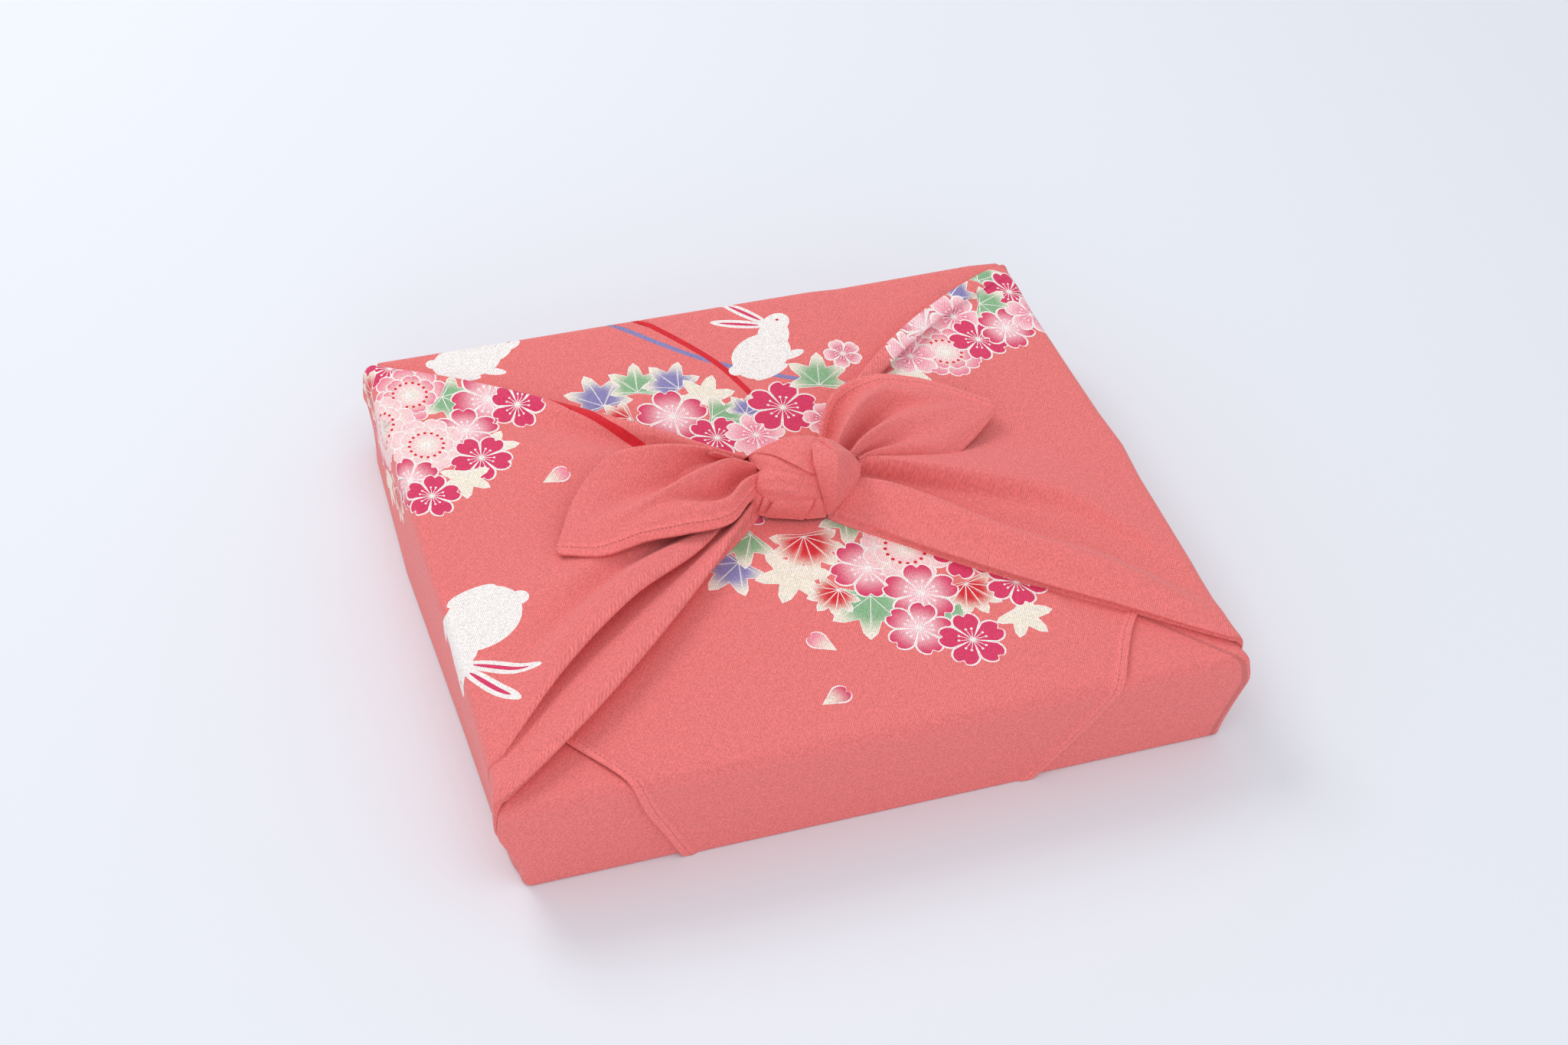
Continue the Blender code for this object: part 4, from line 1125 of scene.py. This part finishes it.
# Creases pressed into a turn: start and end as shares along and across it, width and depth in mm
BAND_CREASES = (
    ((0.30, 0.62), (0.80, 0.55), 2.4, 0.5),
    ((0.55, 0.80), (0.98, 0.86), 0.9, 0.6),
)
LOWER_CREASES = (((0.20, 0.60), (0.60, 0.70), 1.4, 0.4),)
BELLY_CREASES = (
    ((0.42, 0.00), (0.25, 0.95), 0.60, 2.6),
    ((0.26, 0.05), (0.15, 0.92), 0.55, 2.2),
    ((0.33, 0.10), (0.20, 0.90), 0.90, -0.6),
    ((0.50, 0.00), (0.36, 0.95), 1.50, -0.4),
    ((0.87, 0.05), (0.71, 0.98), 0.50, 1.8),
    ((0.82, 0.12), (0.66, 0.98), 0.90, -0.4),
)
DROP_CREASES = (
    ((0.12, 0.18), (0.31, 0.35), 0.50, 2.2),
    ((0.10, 0.28), (0.30, 0.44), 0.90, -0.5),
    ((0.45, 0.52), (0.75, 0.70), 2.20, 0.5),
)


def normals_of(grid):
    """Unit directions square to a grid of points."""
    n = np.cross(np.gradient(grid, axis=0), np.gradient(grid, axis=1))
    return n / (np.linalg.norm(n, axis=2)[..., None] + 1e-9)


def pressed(grid, creases, inward):
    """A grid of points with creases pressed into it along inward."""
    rows, columns = grid.shape[:2]
    along, across = np.meshgrid(np.linspace(0, 1, rows), np.linspace(0, 1, columns), indexing="ij")
    depth_of = np.zeros((rows, columns))
    wide_mm = np.linalg.norm(np.diff(grid, axis=1), axis=2).sum(1).mean()
    long_mm = np.linalg.norm(np.diff(grid, axis=0), axis=2).sum(0).mean()
    for start, end, wide, depth in creases:
        start, end = np.array(start) * (long_mm, wide_mm), np.array(end) * (long_mm, wide_mm)
        way = end - start
        p = np.stack([along * long_mm, across * wide_mm], 2) - start
        f = np.clip(p @ way / (way @ way), 0, 1)
        off = np.linalg.norm(p - f[..., None] * way, axis=2)
        fade = 0.35 + 0.65 * np.sin(math.pi * np.clip(f, 0.02, 0.98))      # a crease runs out at both ends
        depth_of += depth * np.exp(-(off / wide) ** 2) * fade
    return grid + inward * depth_of[..., None]


def flat_of(grid):
    """A flat measure for a grid of points, from the distances between them."""
    along = np.concatenate([[0], np.cumsum(np.linalg.norm(np.diff(grid, axis=0), axis=2).mean(1))])
    steps = np.linalg.norm(np.diff(grid, axis=1), axis=2)
    across = np.concatenate([np.zeros((len(grid), 1)), np.cumsum(steps, axis=1)], axis=1)
    across -= across[:, -1:] / 2
    return np.stack([np.broadcast_to(along[:, None], across.shape), across], 2)


def grid_faces(rows, columns, first=0, flip=False):
    i, j = np.meshgrid(np.arange(rows - 1), np.arange(columns - 1), indexing="ij")
    a = (first + i * columns + j).ravel()
    quads = np.stack([a, a + columns, a + columns + 1, a + 1], 1)
    return (quads[:, ::-1] if flip else quads).tolist()


LIP_ROUND = 0.45     # how round the edge of a turn is


def knot_turn(rows, creases, ridge=None):
    """Points of one turn: smooth through its table, creased, its side edges rolled under and drawn in."""
    table = np.array(rows)
    columns = table.shape[1]
    marks = smooth_through(np.arange(len(rows)), table, np.linspace(0, len(rows) - 1, 100))
    marks = marks.transpose(1, 0, 2)
    pieces = [(0, columns - 1)] if ridge is None else [(0, ridge), (ridge, columns - 1)]
    parts = []
    for first, last in pieces:
        steps = np.linspace(0, last - first, 12 * (last - first) + 1)
        part = smooth_through(np.arange(last - first + 1), marks[first:last + 1], steps)
        parts.append(part if first == 0 else part[1:])
    grid = np.concatenate(parts).transpose(1, 0, 2)
    out = grid - KNOT_CENTRE
    out /= np.linalg.norm(out, axis=2)[..., None]
    grid = pressed(grid, creases, -out)
    up = normals_of(grid)
    up *= np.sign((up * out).sum(2))[..., None]
    sides = []
    for edge, next_in in ((0, 1), (-1, -2)):
        here, lift = grid[:, edge], up[:, edge]
        away = here - grid[:, next_in]
        away -= lift * (away * lift).sum(1)[:, None]
        away /= np.linalg.norm(away, axis=1)[:, None] + 1e-9
        rolled = [here + away * LIP_ROUND * math.sin(a) - lift * LIP_ROUND * (1 - math.cos(a))
                  for a in np.radians((30, 60, 90, 120, 150, 175))]
        rolled.append(rolled[-1] + (KNOT_CENTRE - rolled[-1]) * 0.08)
        rolled.append(rolled[-1] + (KNOT_CENTRE - rolled[-1]) * 0.30)
        sides.append(np.stack(rolled, 1))
    return np.concatenate([sides[0][:, ::-1], grid, sides[1]], axis=1) + ON_TOP


def joined(grids):
    """Points, faces and flat places of several grids as one mesh."""
    points, faces, flats = [], [], []
    for grid in grids:
        first = sum(len(part) for part in points)
        up = normals_of(grid)
        outward = (up * (grid - KNOT_CENTRE - ON_TOP)).sum() > 0
        faces += grid_faces(*grid.shape[:2], first, not outward)
        points.append(grid.reshape(-1, 3))
        flats.append(flat_of(grid).reshape(-1, 2))
    return np.vstack(points), faces, np.vstack(flats)


def knot_heart():
    """The gathered cloth inside the knot, which shows only in the gaps between its turns."""
    around, along = np.meshgrid(np.linspace(0, 2 * math.pi, 49), np.linspace(0.02, math.pi - 0.02, 25))
    ripple = 1 + 0.05 * np.sin(9 * around + 4 * along)
    ball = np.stack([np.cos(along), np.sin(along) * np.cos(around) * ripple,
                     np.sin(along) * np.sin(around) * ripple], 2)
    return KNOT_CENTRE + KNOT_CORE * ball + ON_TOP


turns = [knot_heart(), knot_turn(BACK_TURN, ()), knot_turn(BELLY, BELLY_CREASES),
         knot_turn(BAND_LOWER, LOWER_CREASES), knot_turn(BAND_UPPER, BAND_CREASES),
         knot_turn(DROP, DROP_CREASES, ridge=2)]
points, faces, flat = joined(turns)
knot, knot_area = make_mesh("knot", points, faces, flat, PLAIN_CREPE)

# %% [markdown]
# The two loose ends are the tips of the same corners. They spring out of the knot as tight pleats and
# open to the shape of a leaf, with a stitched hem along one side. Every fold is one line of seven points
# from the knot to the tip, and the cloth is a smooth surface through those lines. Both sides of an end
# can be seen, so it is a closed piece, about a millimetre thick.

# %% The loose ends
END_THICK = 1.1
HEM_SET_IN = 3.2     # mm from the edge of an end to its stitches
LEFT_PLACES = (0.0, 0.09, 0.19, 0.42, 0.63, 0.81, 1.0)
#    name      in the knot            leaving it             pleats                 widest
#              mid                    near the tip           tip
LEFT_END = (
    ("rim",    (-12.5, 13, 13),       (-18.7, 16.1, 15),     (-25, 19.5, 16),       (-43.3, 25.9, 16),
               (-61.4, 26.2, 14),     (-76.4, 14.7, 10.5),   (-89.4, -5.3, 6)),
    ("slope",  (-11.5, 13, 12),       (-18.5, 16.9, 12),     (-25.5, 19, 11.4),     (-43.2, 19.5, 10),
               (-60.6, 17.2, 10.4),   (-75.8, 7.7, 9.8),     (-89.5, -5.8, 6)),
    ("valley", (-11.2, 11, 12),       (-18.6, 14.5, 8),      (-26.5, 14, 6.6),      (-43, 11.8, 6.6),
               (-60, 9.1, 8.2),       (-75.4, 2.2, 9.2),     (-89.6, -6.3, 6)),
    ("ridge",  (-11.1, 7.7, 17),      (-19.2, 10.6, 18.6),   (-28.2, 9.1, 18.8),    (-44.3, 5, 16.2),
               (-59.8, 1.1, 12.8),    (-75.2, -2.8, 9.2),    (-89.6, -6.9, 5.9)),
    ("pocket", (-9.8, 6, 13),         (-16.5, 6.6, 8),       (-25.2, 1.6, 8.6),     (-44.3, 1, 13),
               (-59.5, -3, 11.6),     (-75, -6, 8.8),        (-89.6, -7.4, 5.8)),
    ("second", (-9.2, 3.3, 16.5),     (-17.2, 0.5, 17),      (-24.2, -5, 15.6),     (-44.4, -4, 14.4),
               (-59.2, -7.4, 11),     (-74.8, -9.4, 8),      (-89.5, -7.9, 5.7)),
    ("turn",   (-8.6, 3, 13),         (-16.2, -2.2, 13),     (-23.6, -8.2, 13),     (-44, -9, 12.2),
               (-58.6, -10, 9.4),     (-74.8, -12, 7.2),     (-89.4, -8.4, 5.6)),
    ("hem",    (-8.5, 1.5, 11),       (-16.8, -4.6, 9.4),    (-23.6, -10.8, 8.8),   (-43.2, -13, 8.8),
               (-57.9, -12.1, 7.6),   (-74.4, -14, 6.4),     (-89.2, -9, 5.4)),
)
RIGHT_PLACES = (0.0, 0.10, 0.24, 0.40, 0.60, 0.82, 1.0)
RIGHT_END = (
    ("hem",    (17, 14, 14),          (22, 24.6, 16),        (31.6, 37.2, 17),      (47.7, 44, 15.5),
               (64.7, 41.9, 13),      (78.5, 35.3, 11),      (91.4, 26.7, 9.5)),
    ("pleat",  (20, 12, 12.5),        (25.2, 20.8, 11.5),    (34.4, 32.8, 13.6),    (48.2, 39, 15),
               (64.9, 36.3, 13.2),    (79.1, 32, 11.2),      (91.7, 25.8, 9.6)),
    ("ridge",  (22.5, 9.9, 17),       (26.3, 14.9, 19),      (36.8, 26.1, 18.8),    (49.3, 34.6, 15.8),
               (64.9, 32.3, 13.2),    (79.4, 29.3, 11),      (91.9, 24.8, 9.6)),
    ("deep",   (24, 8, 11.5),         (28.6, 12.2, 9),       (38.2, 20.5, 8.2),     (51.6, 28.4, 9.8),
               (65.5, 28, 11.6),      (79.7, 26.8, 10.6),    (92.2, 23.9, 9.5)),
    ("second", (26.5, 4.8, 16.8),     (30.3, 8.7, 17.6),     (39, 14.7, 17),        (50.8, 20, 15),
               (65.1, 22.2, 13.2),    (79.8, 23.9, 11),      (92.4, 22.7, 9.5)),
    ("hollow", (28, 4.8, 12),         (32.3, 7.3, 11),       (40.8, 10.8, 10.2),    (51.7, 13.5, 10.4),
               (64.9, 15, 10.5),      (79.7, 18.5, 10),      (92.5, 21.7, 9.3)),
    ("low",    (29.3, 4, 14),         (33.7, 6.2, 13.6),     (41.5, 7.6, 13),       (51.5, 8.6, 11.6),
               (64.5, 8.8, 9.8),      (79.6, 14.4, 8.8),     (92.1, 20.6, 8.9)),
    ("rim",    (29.5, 3, 9.5),        (35, 4.8, 8.5),        (42.5, 4.3, 7.5),      (53.2, 4, 6.3),
               (65.9, 2.9, 5.5),      (80, 10.8, 6.5),       (91, 18.9, 8.3)),
)


def loose_end(name, folds, places, hem_side):
    """A leaf of cloth through its fold lines, a millimetre thick, hemmed along one side."""
    lines = np.array([row[1:] for row in folds], float)
    along, across = np.linspace(0, 1, 110), np.linspace(0, len(folds) - 1, 11 * (len(folds) - 1) + 1)
    marks = np.array([smooth_through(places, row, along) for row in lines])
    grid = smooth_through(np.arange(len(folds)), marks, across).transpose(1, 0, 2)
    up = normals_of(grid)
    up *= np.sign(up[..., 2:])
    length = flat_of(grid)
    inside = length[:, -1:, 1] - length[..., 1] if hem_side > 0 else length[..., 1] - length[:, :1, 1]
    hem = np.stack([length[..., 0], inside * STITCH_IN / HEM_SET_IN, 0 * inside], 2)
    doubled = 0.3 * (1 - ease((inside - HEM_SET_IN - 0.5) / 0.8))
    above = grid + up * doubled[..., None] + ON_TOP
    below = grid - up * END_THICK + ON_TOP
    rows, columns = grid.shape[:2]
    count = rows * columns
    edge = [(i, 0) for i in range(rows)] + [(rows - 1, j) for j in range(1, columns)]
    edge += [(i, columns - 1) for i in range(rows - 2, -1, -1)] + [(0, j) for j in range(columns - 2, 0, -1)]
    inner = [(min(max(i, 1), rows - 2), min(max(j, 1), columns - 2)) for i, j in edge]
    edge, inner = (np.array([i * columns + j for i, j in part]) for part in (edge, inner))
    top_points, low_points = above.reshape(-1, 3), below.reshape(-1, 3)
    middle = (top_points[edge] + low_points[edge]) / 2
    away = top_points[edge] - top_points[inner]
    away /= np.linalg.norm(away, axis=1)[:, None] + 1e-9
    flat = length.reshape(-1, 2)
    points = np.vstack([top_points, low_points, middle + away * END_THICK / 2])
    faces = grid_faces(rows, columns, 0, hem_side < 0) + grid_faces(rows, columns, count, hem_side > 0)
    n = len(edge)
    for k in range(n):
        m = (k + 1) % n
        mid_k, mid_m = 2 * count + k, 2 * count + m
        for face in ((edge[k], edge[m], mid_m, mid_k), (mid_k, mid_m, count + edge[m], count + edge[k])):
            faces.append(face if hem_side < 0 else face[::-1])
    seam = np.vstack([hem.reshape(-1, 3), np.tile(NO_HEM, (count + n, 1))])
    return make_mesh(name, points, faces, np.vstack([flat, flat, flat[edge]]), HEMMED_CREPE, None, seam)


ENDS = (
    # name        folds      places        hem    cut             lies on
    ("left_end",  LEFT_END,  LEFT_PLACES,  1,     (0.050, 0.088), "left_arm"),
    ("right_end", RIGHT_END, RIGHT_PLACES, -1,    (0.062, 0.088), "right_arm"),
)
for name, folds, places, hem_side, cut, below in ENDS:
    piece, area = loose_end(name, folds, places, hem_side)

# %% [markdown]
# The picture is taken with a slightly long lens from the front, a little left, looking down at about 46
# degrees. A large soft light high at the back left models the folds and throws their shadows towards the
# viewer. A wider one low at the front and one overhead lift those shadows, and a pale room fills the
# rest. The floor is a plain pale sheet.

# %% Camera
CAMERA_TURN, CAMERA_RISE, CAMERA_ROLL = (math.radians(angle) for angle in (-24.0, 45.9, 7.3))
CAMERA_AWAY = 0.924
CAMERA_TARGET = Vector((0.0013 - ORIGIN_X * MM, 0.0019, 0.033))
back = Vector((math.sin(CAMERA_TURN) * math.cos(CAMERA_RISE),
               -math.cos(CAMERA_TURN) * math.cos(CAMERA_RISE), math.sin(CAMERA_RISE)))
right = (-back).cross(Vector((0, 0, 1))).normalized()
upward = right.cross(-back)
rolled_right = right * math.cos(CAMERA_ROLL) + upward * math.sin(CAMERA_ROLL)
rolled_up = upward * math.cos(CAMERA_ROLL) - right * math.sin(CAMERA_ROLL)
lens = bpy.data.cameras.new("camera")
lens.lens, lens.sensor_width = 56.25, 36.0
camera = bpy.data.objects.new("camera", lens)
camera.matrix_world = Matrix.Translation(CAMERA_TARGET + back * CAMERA_AWAY) @ Matrix(
    (rolled_right, rolled_up, back)).transposed().to_4x4()
bpy.context.scene.collection.objects.link(camera)
bpy.context.scene.camera = camera
print("camera at", [round(v, 3) for v in camera.matrix_world.translation])

# %% Floor and light
floor_mesh = bpy.data.meshes.new("floor")
floor_mesh.from_pydata([(-3, -3, 0), (3, -3, 0), (3, 3, 0), (-3, 3, 0)], [], [(0, 1, 2, 3)])
floor = bpy.data.objects.new("floor", floor_mesh)
bpy.context.scene.collection.objects.link(floor)
paper = bpy.data.materials.new("pale backdrop paper")
paper.use_nodes = True
paper.node_tree.nodes["Principled BSDF"].inputs["Base Color"].default_value = (*linear("#E3E6EC"), 1.0)
paper.node_tree.nodes["Principled BSDF"].inputs["Roughness"].default_value = 0.9
floor_mesh.materials.append(paper)


def soft_light(name, place, size, power, colour):
    data = bpy.data.lights.new(name, "AREA")
    data.shape, data.size, data.energy, data.color = "DISK", size, power, colour
    lamp = bpy.data.objects.new(name, data)
    lamp.location = place
    lamp.rotation_euler = (-Vector(place)).to_track_quat("-Z", "Y").to_euler()
    bpy.context.scene.collection.objects.link(lamp)


soft_light("key", (-0.6, 1.0, 1.2), 0.8, 8.6, (1.0, 1.0, 1.0))
soft_light("fill", (-0.4, -1.6, 0.6), 1.3, 6.2, (1.0, 1.0, 1.0))
soft_light("top", (0.0, -0.5, 1.8), 1.0, 3.6, (1.0, 1.0, 1.0))
world = bpy.data.worlds.new("pale room")
world.use_nodes = True
world.node_tree.nodes["Background"].inputs["Color"].default_value = (0.95, 0.965, 1.0, 1.0)
world.node_tree.nodes["Background"].inputs["Strength"].default_value = 0.75
bpy.context.scene.world = world
bpy.context.scene.view_settings.view_transform = "Standard"
